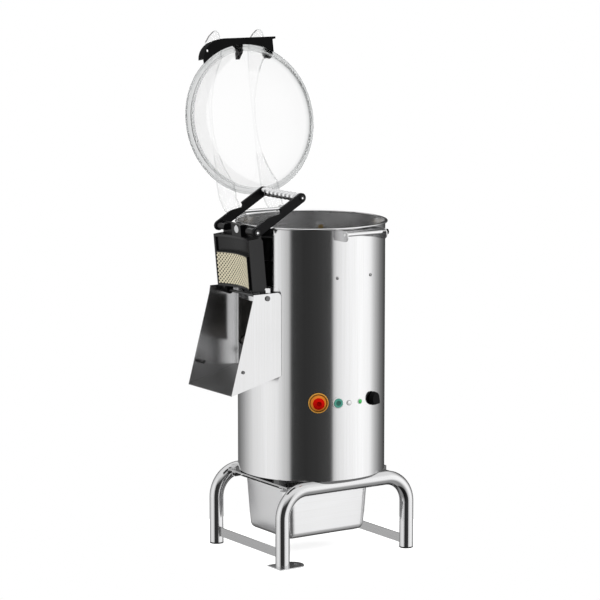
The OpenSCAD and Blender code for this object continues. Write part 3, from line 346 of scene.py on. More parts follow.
def finish(name):
    """The finish of that name, made once."""
    kept = "finish_" + name
    if kept in bpy.data.materials:
        return bpy.data.materials[kept]
    looks = bpy.context.scene.peeler
    black, dark = looks.black[:3], (0.02, 0.02, 0.02)
    makers = {
        "tub_polish": lambda: steel(0.76, looks.tub_roughness, 0.05, UPWARD, 0.02),
        # painted light: a lighter copy of the tub steel for the inside of the tub and the chamber floor
        "tub_inside": lambda: steel(0.95, 0.22, 0.06, UPWARD, 0.04),
        # painted shade: a dark copy of the plate steel for the chute's inner faces
        "chute_inside": lambda: steel(0.24, 0.34, 0.1, ALONG_Y, 0.1),
        "tube_polish": lambda: steel(0.72, 0.1, 0.05, ACROSS, 0.03),
        "plate_upright": lambda: steel(0.72, 0.22, 0.1, UPWARD),
        "plate_across": lambda: steel(0.72, 0.24, 0.1, ACROSS),
        # painted shade: a darker copy of the plate steel for the low bars and the ties
        "plate_deep": lambda: steel(0.55, 0.24, 0.1, ALONG_Y),
        "pan_satin": lambda: steel(0.96, 0.32, 0.08, ACROSS, 0.03),
        "bright_steel": lambda: steel(0.82, 0.12, 0.05, UPWARD, 0.01),
        "dark_steel": lambda: steel(0.16, 0.35, 0.15, AROUND, 0.1),
        "dull_steel": lambda: steel(0.5, 0.38, 0.15, AROUND, 0.1),
        # painted shade: a dark steel for the grip's grooves
        "groove_steel": lambda: steel(0.3, 0.3, 0.1, EVENLY, 0.1),
        "weld": lambda: steel(0.6, 0.3, 0.15, EVENLY, 0.2),
        "brass": lambda: metal((0.72, 0.54, 0.252), (0.8, 0.6, 0.28), 0.25, 0.1, AROUND),
        "black_casting": lambda: coated(shade(black, 0.5), 0.3, 900.0, 0.2, gloss=0.4),
        "black_arm": lambda: coated(shade(black, 0.7), 0.4, 1100.0, 0.2, gloss=0.12),
        "black_plastic": lambda: coated(shade(black, 0.35), 0.36, 800.0, 0.12, gloss=0.05),
        "gasket": lambda: coated(black, 0.3, 900.0, 0.1, gloss=0.6),
        "dark_bolt": lambda: coated(dark, 0.3, 900.0, 0.05, gloss=0.3),
        "rubber": lambda: coated(dark, 0.7, 1300.0, 0.3),
        "clear_lid": clear_plastic,
        "clear_rib": clear_rib,
        "pad_grit": lambda: shaded_ridge_pad(looks.pad_colour[:3]),
        "disc_grit": lambda: coated((0.09, 0.085, 0.08), 0.75, 600.0, 0.8, 1.5),
        "liner_grit": lambda: coated((0.05, 0.048, 0.045), 0.75, 900.0, 0.6, 1.5),
        "grey_casting": lambda: coated((0.2, 0.2, 0.21), 0.55, 500.0, 0.5),
        "motor_paint": lambda: coated((0.12, 0.16, 0.2), 0.4, 700.0, 0.25),
        "box_plastic": lambda: coated((0.55, 0.55, 0.55), 0.45, 900.0, 0.15, 1.06),
        "magnet": lambda: coated((0.86, 0.87, 0.88), 0.25, 700.0, 0.03, 1.03),
        "estop_gold": lambda: coated(looks.collar_colour[:3], 0.3, 900.0, 0.05, 1.08),
        # painted shade: a darker copy of the collar colour for the groove
        "estop_groove": lambda: coated(shade(looks.collar_colour, 0.35), 0.5, 900.0, 0.05, 1.08),
        "estop_orange": lambda: coated(looks.plate_colour[:3], 0.35, 900.0, 0.05, 1.06),
        "estop_red": lambda: coated(looks.red[:3], 0.5, 900.0, 0.04, 1.08, 0.02),
        # painted shade: darker copies of the red and the green for the buttons' sunk middles
        "estop_deep": lambda: coated(shade(looks.red, 0.62), 0.5, 900.0, 0.04, 1.08, 0.02),
        "button_green": lambda: coated(looks.green[:3], 0.28, 900.0, 0.04, 1.08),
        "button_deep": lambda: coated(shade(looks.green, 0.4), 0.3, 900.0, 0.04, 1.08),
        "bezel_white": lambda: coated((0.88, 0.9, 0.9), 0.25, 900.0, 0.03, 1.03),
        "lens_white": lambda: lamp_lens((0.9, 0.9, 0.9), 0.15),
        "lens_green": lambda: lamp_lens((0.06, 0.42, 0.1), 0.4),
    }
    made = makers[name]()
    made.name = kept
    return made


# ---- Shapes ----

def weigh_normals(mesh, angle):
    """Lets the larger faces round a corner set its normal, so that flats stay flat."""
    limit = math.cos(math.radians(angle))
    around = [[] for _ in mesh.vertices]
    faces = [(f.normal.copy(), f.area, tuple(f.vertices)) for f in mesh.polygons]
    for face in faces:
        for corner in face[2]:
            around[corner].append(face)
    normals = []
    for normal, _, corners in faces:
        for corner in corners:
            total = Vector((0, 0, 0))
            for other, area, _ in around[corner]:
                if other.dot(normal) > limit:
                    total += other * area
            normals.append(total.normalized() if total.length else normal)
    mesh.normals_split_custom_set(normals)


def made_mesh(name, bm):
    """A mesh of a bmesh, which is freed."""
    mesh = bpy.data.meshes.new(name)
    bm.to_mesh(mesh)
    bm.free()
    return mesh


def put_in_scene(name, data):
    """A new object in the scene."""
    made = bpy.data.objects.new(name, data)
    bpy.context.scene.collection.objects.link(made)
    return made


def add_piece(name, bm, node, look, stands=True, angle=32.0, outward=True):
    """Makes an object of a bmesh, with a look, on a CAD node's body; it may stand for the node."""
    body, slot = NODE_BODY[node], NODE_SLOT[node]
    replaced = (node,) if stands else ()
    if outward:
        bmesh.ops.remove_doubles(bm, verts=bm.verts, dist=0.004 * MM)
        bmesh.ops.recalc_face_normals(bm, faces=bm.faces)
    mesh = made_mesh(name, bm)
    mesh.shade_smooth()
    weigh_normals(mesh, angle)
    piece = put_in_scene(name, mesh)
    mesh.materials.append(finish(look))
    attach(piece, body)
    if replaced:
        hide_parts(*replaced)
    return piece


def paint_faces(piece, pick, *looks):
    """Adds looks to a piece and gives each face the one that a rule picks, 0 for the first."""
    for look in looks:
        piece.data.materials.append(finish(look))
    for polygon in piece.data.polygons:
        polygon.material_index = int(pick(polygon))


def facing(origin, axis):
    """The matrix that takes +Z to an axis, at an origin."""
    turn = Vector(axis).normalized().to_track_quat("Z", "Y").to_matrix().to_4x4()
    return Matrix.Translation(origin) @ turn


def on_tub(angle, z):
    """A place on the tub's skin at an angle from the front, with +Z pointing outwards."""
    turn = math.radians(angle)
    way = Vector((math.sin(turn), -math.cos(turn), 0))
    origin = way * TUB_R
    origin.z = z
    return facing(origin, way)


def from_place(place, point):
    """A point's distance from a place's +Z axis and its height along it, in mm."""
    spot = (place.inverted() @ point) / MM
    return math.hypot(spot.x, spot.y), spot.z


def from_axis_y(point, centre):
    """A point's distance from an axis along Y."""
    return math.hypot(point.x - centre.x, point.z - centre.z)


def turned(bm, profile, place, steps):
    """Adds a turned shape: a profile of (radius, height) in mm, closed on itself, spun about +Z."""
    verts = [bm.verts.new((r * MM, 0, h * MM)) for r, h in profile]
    edges = [bm.edges.new(pair) for pair in zip(verts, verts[1:])]
    if profile[0][0] > 0 or profile[-1][0] > 0:
        edges.append(bm.edges.new((verts[-1], verts[0])))
    before = set(bm.verts) - set(verts)
    bmesh.ops.spin(bm, geom=verts + edges, cent=(0, 0, 0), axis=(0, 0, 1),
                   angle=2 * math.pi, steps=steps, use_merge=True)
    made = [v for v in bm.verts if v not in before]
    bmesh.ops.remove_doubles(bm, verts=made, dist=0.002 * MM)
    made = [v for v in bm.verts if v not in before]
    bmesh.ops.transform(bm, matrix=place, verts=made)


def turned_piece(name, profile, places, steps, node, look, **options):
    """A piece of one turned profile, made at each of some places."""
    bm = bmesh.new()
    for place in places:
        turned(bm, profile, place, steps)
    return add_piece(name, bm, node, look, **options)


def arc(centre_r, centre_h, radius, start, stop, steps):
    """Points of a round stretch of a profile, angles in degrees from the outward direction."""
    turns = [math.radians(start + (stop - start) * i / steps) for i in range(steps + 1)]
    return [(centre_r + radius * math.cos(t), centre_h + radius * math.sin(t)) for t in turns]


def only(kind, geom):
    """The elements of one kind in a bmesh operator's result."""
    return [g for g in geom if isinstance(g, kind)]


def edges_at(verts):
    """Every edge that ends at one of some vertices."""
    return list({e for v in verts for e in v.link_edges})


def bevel(bm, edges, width, segments, **options):
    """Rounds some edges."""
    bmesh.ops.bevel(bm, geom=edges, offset=width, segments=segments, profile=0.5,
                    affect="EDGES", material=-1, **options)


def add_block(bm, low, high):
    """Adds a block between two corners; gives its vertices."""
    low, high = Vector(low), Vector(high)
    fit = Matrix.Translation((low + high) / 2) @ Matrix.Diagonal((*(high - low), 1))
    return bmesh.ops.create_cube(bm, size=1, matrix=fit)["verts"]


def copied(node):
    """A bmesh with a CAD node's shape, merged, with its flat faces joined."""
    bm = bmesh.new()
    bm.from_mesh(frame["nodes"][node].data)
    bmesh.ops.remove_doubles(bm, verts=bm.verts, dist=0.003 * MM)
    bmesh.ops.dissolve_limit(bm, angle_limit=math.radians(1.0), use_dissolve_boundaries=False,
                             verts=bm.verts, edges=bm.edges)
    return bm


def soften(bm, width, segments):
    """Rounds every edge between faces that meet at more than 30 degrees."""
    edges = [e for e in bm.edges
             if len(e.link_faces) == 2 and e.calc_face_angle(0) > math.radians(30)]
    bevel(bm, edges, width, segments, clamp_overlap=True)


def softened_piece(node, look, width_mm, segments=2):
    """A rounded copy of a CAD node that stands for it."""
    bm = copied(node)
    soften(bm, width_mm * MM, segments)
    return add_piece(node + "_rounded", bm, node, look, outward=False)


def soften_nodes(*rows):
    """Rounded copies of CAD nodes, each from its node, look, width in mm and segments."""
    for row in rows:
        softened_piece(*row)


def weld_run(bm, start, end, radius):
    """Adds a weld: a row of small drops from one point to another."""
    count = max(2, int((end - start).length / (radius * 0.8)))
    for i in range(count + 1):
        place = Matrix.Translation(start.lerp(end, i / count))
        bmesh.ops.create_icosphere(bm, subdivisions=1, radius=radius, matrix=place)


def camera_way():
    """The direction from the object to the camera."""
    turn, rise = math.radians(CAMERA_AZIMUTH), math.radians(CAMERA_ELEVATION)
    return Vector((math.sin(turn) * math.cos(rise), -math.cos(turn) * math.cos(rise),
                   math.sin(rise)))


def swing(pivot, angle, axis):
    """The matrix of a turn about an axis through a joint's pivot."""
    return (Matrix.Translation(pivot) @ Matrix.Rotation(angle, 4, axis)
            @ Matrix.Translation(-pivot))


LID_SWING = swing(LID_PIVOT, -LID_OPEN, "X")       # from the shut lid to the open one
DOOR_SWING = swing(DOOR_PIVOT, DOOR_OPEN, "Y")     # from the shut door to the open one


def dome_sphere():
    """The centre and the radius of the shut lid's dome."""
    foot = LID_R - DOME_INSET
    radius = (foot ** 2 + DOME_H ** 2) / (2 * DOME_H)
    return Vector((0, 0, LID_Z + DOME_H - radius)), radius


# ---- Settings ----

def length_setting(name, description, default, low, high):
    """A length for the panel, given in mm."""
    return FloatProperty(name=name, description=description, default=default * MM,
                         min=low * MM, max=high * MM, unit="LENGTH")


def colour_setting(name, description, default):
    """A colour for the panel."""
    return FloatVectorProperty(name=name, description=description, default=default,
                               min=0, max=1, subtype="COLOR")


class PeelerSettings(bpy.types.PropertyGroup):
    """Sizes and colours of the dressed peeler."""

    tub_roughness: FloatProperty(
        name="Tub roughness", description="How blurred the tub's reflections are",
        default=0.13, min=0.02, max=0.5, subtype="FACTOR")
    tub_steps: IntProperty(
        name="Tub facets", description="Facets round the tub and the lid",
        default=240, min=96, max=360)
    edge: length_setting("Sheet edge", "Rounding of sheet metal edges", 0.35, 0.1, 1.0)
    cast_edge: length_setting("Casting edge", "Rounding of the castings' edges", 1.3, 0.3, 2.5)
    bend: length_setting("Tube bend", "Bend radius of the frame tubes' centre", 73, 50, 90)
    ridge_pitch: length_setting("Pad ridges", "Distance between the pad's ridges", 7.5, 2.5, 9)
    black: colour_setting("Black", "Black castings and plastic", (0.008, 0.008, 0.009))
    pad_colour: colour_setting("Pad", "The abrasive pad", (0.6, 0.54, 0.4))
    collar_colour: colour_setting("Collar", "The emergency stop's outer ring", (0.8, 0.4, 0.07))
    plate_colour: colour_setting("Collar face", "The emergency stop's inner face",
                                 (1.0, 0.36, 0.05))
    red: colour_setting("Red", "The emergency stop's head", (0.62, 0.004, 0.002))
    green: colour_setting("Green", "The start button", (0.1, 0.4, 0.31))


# ---- Stage ----

STUDIO_BANDS = (
    (-180, 0.10), (-152, 0.20), (-136, 0.36), (-120, 0.62), (-104, 0.92), (-72, 1.12),
    (-56, 1.06), (-42, 0.74), (-35, 0.62), (-31, 0.05), (-10, 0.035), (10, 0.045), (32, 0.07),
    (35, 0.72), (41, 0.98), (55, 1.14), (85, 1.32), (103, 1.18), (112, 0.82), (119, 0.58),
    (135, 0.25), (151, 0.11), (165, 0.05), (180, 0.05))
OVERHEAD = 0.95
FLOOR_R = 0.42
FLOOR_TONE = 0.82
FLOOR_GLOW = 0.73
LAMPS = (("key_lamp", (-2.6, -3.6, 3.4), 2.2, 64), ("fill_lamp", (3.6, -2.2, 2.0), 2.0, 22),
         ("back_lamp", (0.5, 3.6, 3.2), 2.2, 45))


class PEELER_OT_stage(bpy.types.Operator):
    """Make the floor, the studio light and the camera"""
    bl_idname = "peeler.stage"
    bl_label = "Studio"

    def execute(self, context):
        context.scene.view_settings.view_transform = "Standard"
        self.make_world(context.scene)
        self.make_floor()
        for lamp in LAMPS:
            self.make_lamp(*lamp)
        self.make_camera(context.scene)
        return {"FINISHED"}

    def make_world(self, scene):
        """White to the camera and through clear pieces; light and dark bands in reflections."""
        world = bpy.data.worlds.new("studio")
        scene.world = world
        world.use_nodes = True
        tree = world.node_tree
        place = tree.nodes.new("ShaderNodeTexCoord")
        split = add_node(tree, "SeparateXYZ", Vector=place.outputs["Generated"])
        towards_front = math_node(tree, "MULTIPLY", split.outputs["Y"], -1.0)
        around = math_node(tree, "ARCTAN2", split.outputs["X"], towards_front)
        from_camera = math_node(tree, "SUBTRACT", around, math.radians(CAMERA_AZIMUTH))
        turns = math_node(tree, "DIVIDE", from_camera, 2 * math.pi)
        wrapped = math_node(tree, "FRACT", math_node(tree, "ADD", turns, 0.5))
        bands = ramp_node(tree, wrapped, [((degrees + 180) / 360, (level,) * 3)
                                          for degrees, level in STUDIO_BANDS])
        overhead = add_node(tree, "MapRange", From_Min=0.35, From_Max=0.75,
                            Value=split.outputs["Z"])
        mixed = mix_node(tree, overhead.outputs["Result"], bands, (*(OVERHEAD,) * 3, 1))
        under = add_node(tree, "MapRange", From_Min=-0.6, From_Max=-0.2, To_Min=0.3,
                         Value=split.outputs["Z"])
        dimmed = tree.nodes.new("ShaderNodeVectorMath")
        dimmed.operation = "SCALE"
        feed(tree, dimmed.inputs[0], mixed)
        feed(tree, dimmed.inputs["Scale"], under.outputs["Result"])
        shown = mix_node(tree, seen_directly(tree), dimmed.outputs[0], (1, 1, 1, 1))
        feed(tree, tree.nodes["Background"].inputs["Color"], shown)

    def make_floor(self):
        """A round white floor that keeps the object's shadow."""
        bm = bmesh.new()
        bmesh.ops.create_circle(bm, cap_ends=True, segments=96, radius=FLOOR_R)
        floor = put_in_scene("floor", made_mesh("floor", bm))
        made = bpy.data.materials.new("white_floor")
        made.use_nodes = True
        tree = made.node_tree
        tree.nodes.clear()
        paint = add_node(tree, "BsdfDiffuse", Color=(*(FLOOR_TONE,) * 3, 1))
        level = math_node(tree, "MULTIPLY", seen_directly(tree), FLOOR_GLOW)
        glow = add_node(tree, "Emission", Strength=level)
        both = tree.nodes.new("ShaderNodeAddShader")
        feed(tree, both.inputs[0], paint.outputs[0])
        feed(tree, both.inputs[1], glow.outputs[0])
        add_node(tree, "OutputMaterial", Surface=both.outputs[0])
        floor.data.materials.append(made)
        floor.visible_glossy = False

    def make_lamp(self, name, place, size, power):
        """A soft area lamp that looks at the tub."""
        lamp = bpy.data.lights.new(name, "AREA")
        lamp.shape = "DISK"
        lamp.size = size
        lamp.energy = power
        holder = put_in_scene(name, lamp)
        holder.visible_glossy = False
        holder.visible_transmission = False
        holder.location = place
        way = Vector((0, 0, LAMP_TARGET_Z)) - holder.location
        holder.rotation_euler = way.to_track_quat("-Z", "Y").to_euler()

    def make_camera(self, scene):
        """The camera at the photograph's angle."""
        camera = bpy.data.cameras.new("camera")
        camera.lens = CAMERA_LENS
        camera.sensor_width = 36
        camera.clip_end = 100
        holder = put_in_scene("camera", camera)
        turn = math.radians(CAMERA_AZIMUTH)
        back = camera_way()
        right = Vector((math.cos(turn), math.sin(turn), 0))
        target = right * CAMERA_SIDE + Vector((0, 0, CAMERA_HEIGHT))
        holder.location = target + back * CAMERA_DISTANCE
        holder.rotation_euler = (-back).to_track_quat("-Z", "Y").to_euler()
        scene.camera = holder


# ---- Stand and pan ----

class PEELER_OT_stand(bpy.types.Operator):
    """Make the bent frame tubes, their feet and the welds"""
    bl_idname = "peeler.stand"
    bl_label = "Stand"

    def execute(self, context):
        looks = context.scene.peeler
        radius = (TUBE_HIGH.y - TUBE_LOW.y) / 2
        for node in ("front_frame_tube", "rear_frame_tube"):
            self.frame_tube(node, radius, looks.bend)
        self.feet(radius)
        self.welds(radius)
        edge = looks.edge / MM
        # painted shade: the low bars and the ties take the darker copy of the plate steel
        soften_nodes(("low_bars", "plate_deep", edge), ("frame_ties", "plate_deep", edge),
                     # painted shade: the spacers take the dark steel for the shadow under the tub
                     ("pan_rails", "plate_across", edge), ("frame_spacers", "dark_steel", edge),
                     ("floor_flange", "plate_across", 0.6), ("mount_bolts", "bright_steel", 0.3))
        return {"FINISHED"}

    def frame_tube(self, node, radius, bend):
        """Sweeps a circle up one leg, round the bends and down the other."""
        low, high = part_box(node)
        y = (low.y + high.y) / 2
        leg = high.x - radius
        knee = high.z - radius - bend
        flat = leg - bend
        end_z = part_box("foot_caps")[1].z - 14 * MM
        bm = bmesh.new()
        place = Matrix.Translation((-leg, y, low.z))
        ring = bmesh.ops.create_circle(bm, segments=56, radius=radius, matrix=place)["verts"]
        edges = self.push(bm, edges_at(ring), (0, 0, knee - low.z))
        edges = self.bow(bm, edges, (-flat, y, knee))
        edges = self.push(bm, edges, (2 * flat, 0, 0))
        edges = self.bow(bm, edges, (flat, y, knee))
        self.push(bm, edges, (0, 0, end_z - knee))
        bmesh.ops.holes_fill(bm, edges=bm.edges, sides=0)
        add_piece(node + "_swept", bm, node, "tube_polish")

    def push(self, bm, edges, way):
        """Extrudes a loop of edges straight on; gives the new loop."""
        made = bmesh.ops.extrude_edge_only(bm, edges=edges)["geom"]
        bmesh.ops.translate(bm, vec=way, verts=only(BMVert, made))
        return [e for e in only(BMEdge, made) if all(v in made for v in e.verts)]

    def bow(self, bm, edges, centre):
        """Spins a loop of edges by a quarter turn about an axis along Y; gives the new loop."""
        verts = list({v for e in edges for v in e.verts})
        made = bmesh.ops.spin(bm, geom=verts + edges, cent=centre, axis=(0, 1, 0),
                              angle=math.pi / 2, steps=20, use_merge=False)["geom_last"]
        return only(BMEdge, made)

    def feet(self, radius):
        """Rubber caps with a rounded lip under three legs."""
        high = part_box("foot_caps")[1]
        r = radius / MM
        thick, lip, plug = 4.0, 1.2, 12
        profile = ([(0, 0), (r - lip, 0)] + arc(r - lip, lip, lip, -90, 0, 3)
                   + [(r, thick - 1)] + arc(r - 1, thick - 1, 1, 0, 90, 3)
                   + [(r - 1.6, thick), (r - 1.6, thick + plug), (0, thick + plug)])
        x, y = high.x - radius, high.y - radius
        places = [Matrix.Translation((*leg, 0)) for leg in ((x, -y), (x, y), (-x, y))]
        turned_piece("foot_caps_moulded", profile, places, 48, "foot_caps", "rubber")

    def welds(self, radius):
        """Welds where the bars meet the legs and where the ties meet the tubes."""
        inner = abs(TUBE_LOW.y + TUBE_HIGH.y) / 2 - radius
        leg_x = TUBE_HIGH.x - radius
        up, along = Vector((0, 0, 25 * MM)), Vector((10 * MM, 0, 0))
        low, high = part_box("frame_ties")
        bm = bmesh.new()
        for side, z in ((-1, 22 * MM), (1, 8 * MM)):
            for end in (-1, 1):
                for face in (-2 * MM, 2 * MM):
                    foot = Vector((side * leg_x + face, end * inner, z))
                    weld_run(bm, foot, foot + up, 1.6 * MM)
        for side in (-1, 1):
            for end in (-1, 1):
                middle = Vector((side * (high.x - 11 * MM), end * (inner + 0.3 * MM), low.z))
                weld_run(bm, middle - along, middle + along, 0.9 * MM)
        add_piece("frame_welds", bm, "front_frame_tube", "weld", stands=False, outward=False)


class PEELER_OT_pan(bpy.types.Operator):
    """Make the drip pan"""
    bl_idname = "peeler.pan"
    bl_label = "Drip pan"

    def execute(self, context):
        low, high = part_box("drip_pan")
        lip, taper, corner, foot = 15 * MM, 8 * MM, 24 * MM, 16 * MM
        middle = (low + high) / 2
        half = (high - low) / 2 - Vector((lip, lip, 0))
        top = high.z - 0.3 * MM
        bm = bmesh.new()
        verts = add_block(bm, (middle.x - half.x, middle.y - half.y, low.z),
                          (middle.x + half.x, middle.y + half.y, top))
        for v in verts:
            if v.co.z < middle.z:
                v.co.x += math.copysign(taper, middle.x - v.co.x)
                v.co.y += math.copysign(taper, middle.y - v.co.y)
        upright = [e for e in bm.edges if abs(e.verts[0].co.z - e.verts[1].co.z) > 0.05]
        bevel(bm, upright, corner, 8)
        floor = [e for e in bm.edges if all(v.co.z < low.z + MM for v in e.verts)]
        bevel(bm, floor, foot, 6)
        cover = [f for f in bm.faces if all(v.co.z > top - MM for v in f.verts)]
        bmesh.ops.delete(bm, geom=cover, context="FACES_ONLY")
        reach = lip - 2 * MM
        grown = Matrix.Diagonal((1 + reach / half.x, 1 + reach / half.y, 1, 1))
        hem = Matrix.Diagonal((1.006, 1.008, 1, 1))
        centre = Matrix.Translation((middle.x, middle.y, 0))
        for matrix, drop in ((grown, 0), (hem, -0.9 * MM)):
            rim = [e for e in bm.edges if e.is_boundary]
            moved = only(BMVert, bmesh.ops.extrude_edge_only(bm, edges=rim)["geom"])
            bmesh.ops.transform(bm, matrix=centre @ matrix @ centre.inverted(), verts=moved)
            bmesh.ops.translate(bm, vec=(0, 0, drop), verts=moved)
        bmesh.ops.recalc_face_normals(bm, faces=bm.faces)
        bmesh.ops.solidify(bm, geom=bm.faces, thickness=SHEET)
        add_piece("drip_pan_pressed", bm, "drip_pan", "pan_satin", angle=50)
        return {"FINISHED"}


# ---- Tub and chute ----

class PEELER_OT_tub(bpy.types.Operator):
    """Make the tub with its rim bead, its seam and its screws"""
    bl_idname = "peeler.tub"
    bl_label = "Tub"

    def execute(self, context):
        looks = context.scene.peeler
        self.shell(looks.tub_steps)
        self.bead(looks.tub_steps)
        self.seam()
        self.screws()
        soften_nodes(("base_plate", "dull_steel", 0.3), ("chamber_floor", "tub_inside", 0.3))
        return {"FINISHED"}

    def shell(self, steps):
        """The rolled sheet, with the discharge opening cut out of it."""
        hole_low = DOOR_PIVOT.z - 146.5 * MM
        hole_high = DOOR_PIVOT.z - 19.5 * MM
        hole_half = 79.5 * MM
        bm = bmesh.new()
        place = Matrix.Translation((0, 0, TUB_LOW.z))
        ring = bmesh.ops.create_circle(bm, segments=steps, radius=TUB_R, matrix=place)["verts"]
        made = bmesh.ops.extrude_edge_only(bm, edges=edges_at(ring))["geom"]
        bmesh.ops.translate(bm, vec=(0, 0, RIM_HIGH.z - SHEET - TUB_LOW.z),
                            verts=only(BMVert, made))
        for at, normal in (((0, 0, hole_low), (0, 0, 1)), ((0, 0, hole_high), (0, 0, 1)),
                           ((0, hole_half, 0), (0, 1, 0)), ((0, -hole_half, 0), (0, 1, 0))):
            bmesh.ops.bisect_plane(bm, geom=bm.verts[:] + bm.edges[:] + bm.faces[:],
                                   plane_co=at, plane_no=normal)
        middles = [(f, f.calc_center_median()) for f in bm.faces]
        inside = [f for f, c in middles
                  if c.x < -0.1 and abs(c.y) < hole_half and hole_low < c.z < hole_high]
        bmesh.ops.delete(bm, geom=inside, context="FACES")
        bmesh.ops.recalc_face_normals(bm, faces=bm.faces)
        outer = bm.faces[0]
        if outer.normal.xy.dot(outer.calc_center_median().xy) < 0:
            bmesh.ops.reverse_faces(bm, faces=bm.faces)
        bmesh.ops.solidify(bm, geom=bm.faces, thickness=SHEET)
        shell = add_piece("tub_shell_rolled", bm, "tub_shell", "tub_polish")
        # painted light: the inner faces take the lighter copy of the tub steel
        paint_faces(shell, lambda f: (f.normal.xy.dot(f.center.xy) < 0
                                      and f.center.xy.length < TUB_R - MM), "tub_inside")

    def bead(self, steps):
        """The rolled bead round the mouth."""
        inner, outer = (TUB_R - SHEET) / MM, RIM_HIGH.x / MM
        low, high = RIM_LOW.z / MM, RIM_HIGH.z / MM
        r = (high - low) / 2
        profile = ([(inner, high - 1.0), (inner + 1.0, high)]
                   + arc(outer - r, low + r, r, 90, -90, 10) + [(inner + 2.2, low), (inner, low)])
        turned_piece("rim_bead", profile, [Matrix.Identity(4)], steps, "rim_ring", "bright_steel")

    def seam(self):
        """The weld down the back of the rolled sheet."""
        bm = bmesh.new()
        verts = add_block(bm, (-1.6 * MM, TUB_R - 0.4 * MM, TUB_LOW.z + MM),
                          (1.6 * MM, TUB_R + 0.35 * MM, RIM_LOW.z - MM))
        bevel(bm, edges_at(verts), 0.3 * MM, 2)
        add_piece("tub_seam", bm, "tub_shell", "weld", stands=False)

    def screws(self):
        """Two domed screws with a hexagon socket high on the front."""
        profile = [(0, -6), (2.4, -6), (2.4, 0.2), (4.5, 0.2), (4.5, 0.9), (3.8, 2.1), (2.6, 2.7),
                   (1.5, 2.7), (1.5, 1.2), (0, 1.2)]
        places = [on_tub(angle, SCREW_Z) for angle in SCREW_ANGLES]
        turned_piece("front_screws_domed", profile, places, 24, "front_screws", "dull_steel")


class PEELER_OT_chute(bpy.types.Operator):
    """Make the discharge chute and its pins"""
    bl_idname = "peeler.chute"
    bl_label = "Discharge chute"

    def execute(self, context):
        looks = context.scene.peeler
        chute = softened_piece("discharge_chute", "plate_upright", looks.edge / MM)
        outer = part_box("discharge_chute")[1].y - 3 * MM
        small = 4e-4
        # painted shade: the chute's inner faces take the dark copy of its steel
        paint_faces(chute, lambda f: abs(f.center.y) < outer and f.area > small, "chute_inside")
        soften_nodes(("latch_pins", "dark_steel", 0.5), ("door_hinge_pin", "dark_steel", 0.5))
        return {"FINISHED"}


# ---- Discharge door and clamp handle ----

class PEELER_OT_door(bpy.types.Operator):
    """Make the cast discharge door, its ridged pad, its gasket and its magnet"""
    bl_idname = "peeler.door"
    bl_label = "Discharge door"

    def execute(self, context):
        looks = context.scene.peeler
        softened_piece("door_casting", "black_casting", looks.cast_edge / MM, 3)
        self.pivot_bolts()
        self.magnet()
        softened_piece("door_gasket", "gasket", 0.3)
        self.pad(looks.ridge_pitch)
        return {"FINISHED"}

    def pivot_bolts(self):
        """Black bolts through the arms into the door, their hexagon sockets painted bright as a glint."""
        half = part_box("arm_pivot_bolts")[1].y / MM
        profile = [(0, 63), (5, 63), (5, 87.3), (8, 87.3), (8, 88.7), (5, 88.7), (5, half - 4.2),
                   (8.5, half - 4.2), (8.5, half - 1.2), (7.4, half), (3.4, half),
                   (2.8, half - 1), (0, half - 1)]
        places = [facing(ARM_PIVOT, (0, side, 0)) for side in (-1, 1)]
        bolts = turned_piece("arm_pivot_bolts_turned", profile, places, 32, "arm_pivot_bolts",
                             "dark_bolt")
        socket = 3.2 * MM
        # painted highlight: the socket faces take bright steel as a glint
        paint_faces(bolts, lambda f: from_axis_y(f.center, ARM_PIVOT) < socket, "bright_steel")

    def magnet(self):
        """A round button with a rounded edge, let into the middle lobe."""
        low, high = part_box("door_magnet")
        half, thick = 10.2, 6.0
        back = DOOR_SWING.inverted() @ ((low + high) / 2)
        back.x -= thick / 2 * MM
        profile = [(0, 0), (half, 0)] + arc(half - 1, thick - 1, 1, 0, 90, 4) + [(0, thick)]
        turned_piece("door_magnet_oval", profile, [DOOR_SWING @ facing(back, (1, 0, 0))], 48,
                     "door_magnet", "magnet")

    def pad(self, pitch):
        """A curved plate of small pyramids set on the diagonal."""
        low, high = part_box("door_pad")
        heights = [(DOOR_SWING.inverted() @ Vector((x, y, z))).z for x in (low.x, high.x)
                   for y in (low.y, high.y) for z in (low.z, high.z)]
        z0, z1 = min(heights) + 0.4 * MM, max(heights) - 0.4 * MM
        half = high.y - 0.3 * MM
        face_r, depth, ridge_h = 193.3 * MM, 3.2 * MM, 0.45 * MM
        turns = 2 * math.pi / pitch / 1.414
        bm = bmesh.new()
        columns, rows = int(2 * half / pitch * 4), int((z1 - z0) / pitch * 4)
        bmesh.ops.create_grid(bm, x_segments=columns, y_segments=rows, size=0.5)
        # painted light: this value paints highlights on the pad's ridges and shade in its valleys
        ridge_shading = bm.verts.layers.float.new("ridge_shading")
        for v in bm.verts:
            y = v.co.x * 2 * half
            z = z0 + (v.co.y + 0.5) * (z1 - z0)
            waves = math.cos(turns * (y + z)) + math.cos(turns * (y - z))
            r = face_r + ridge_h * (2 - waves)
            v[ridge_shading] = (waves + 2) / 4
            v.co = Vector((-math.sqrt(r * r - y * y), y, z))
        made = bmesh.ops.extrude_face_region(
            bm, geom=bm.verts[:] + bm.edges[:] + bm.faces[:], use_keep_orig=True)["geom"]
        for v in only(BMVert, made):
            v.co.x = -math.sqrt((face_r + depth) ** 2 - v.co.y ** 2)
        bmesh.ops.transform(bm, matrix=DOOR_SWING, verts=bm.verts)
        add_piece("door_pad_ridged", bm, "door_pad", "pad_grit", angle=60)


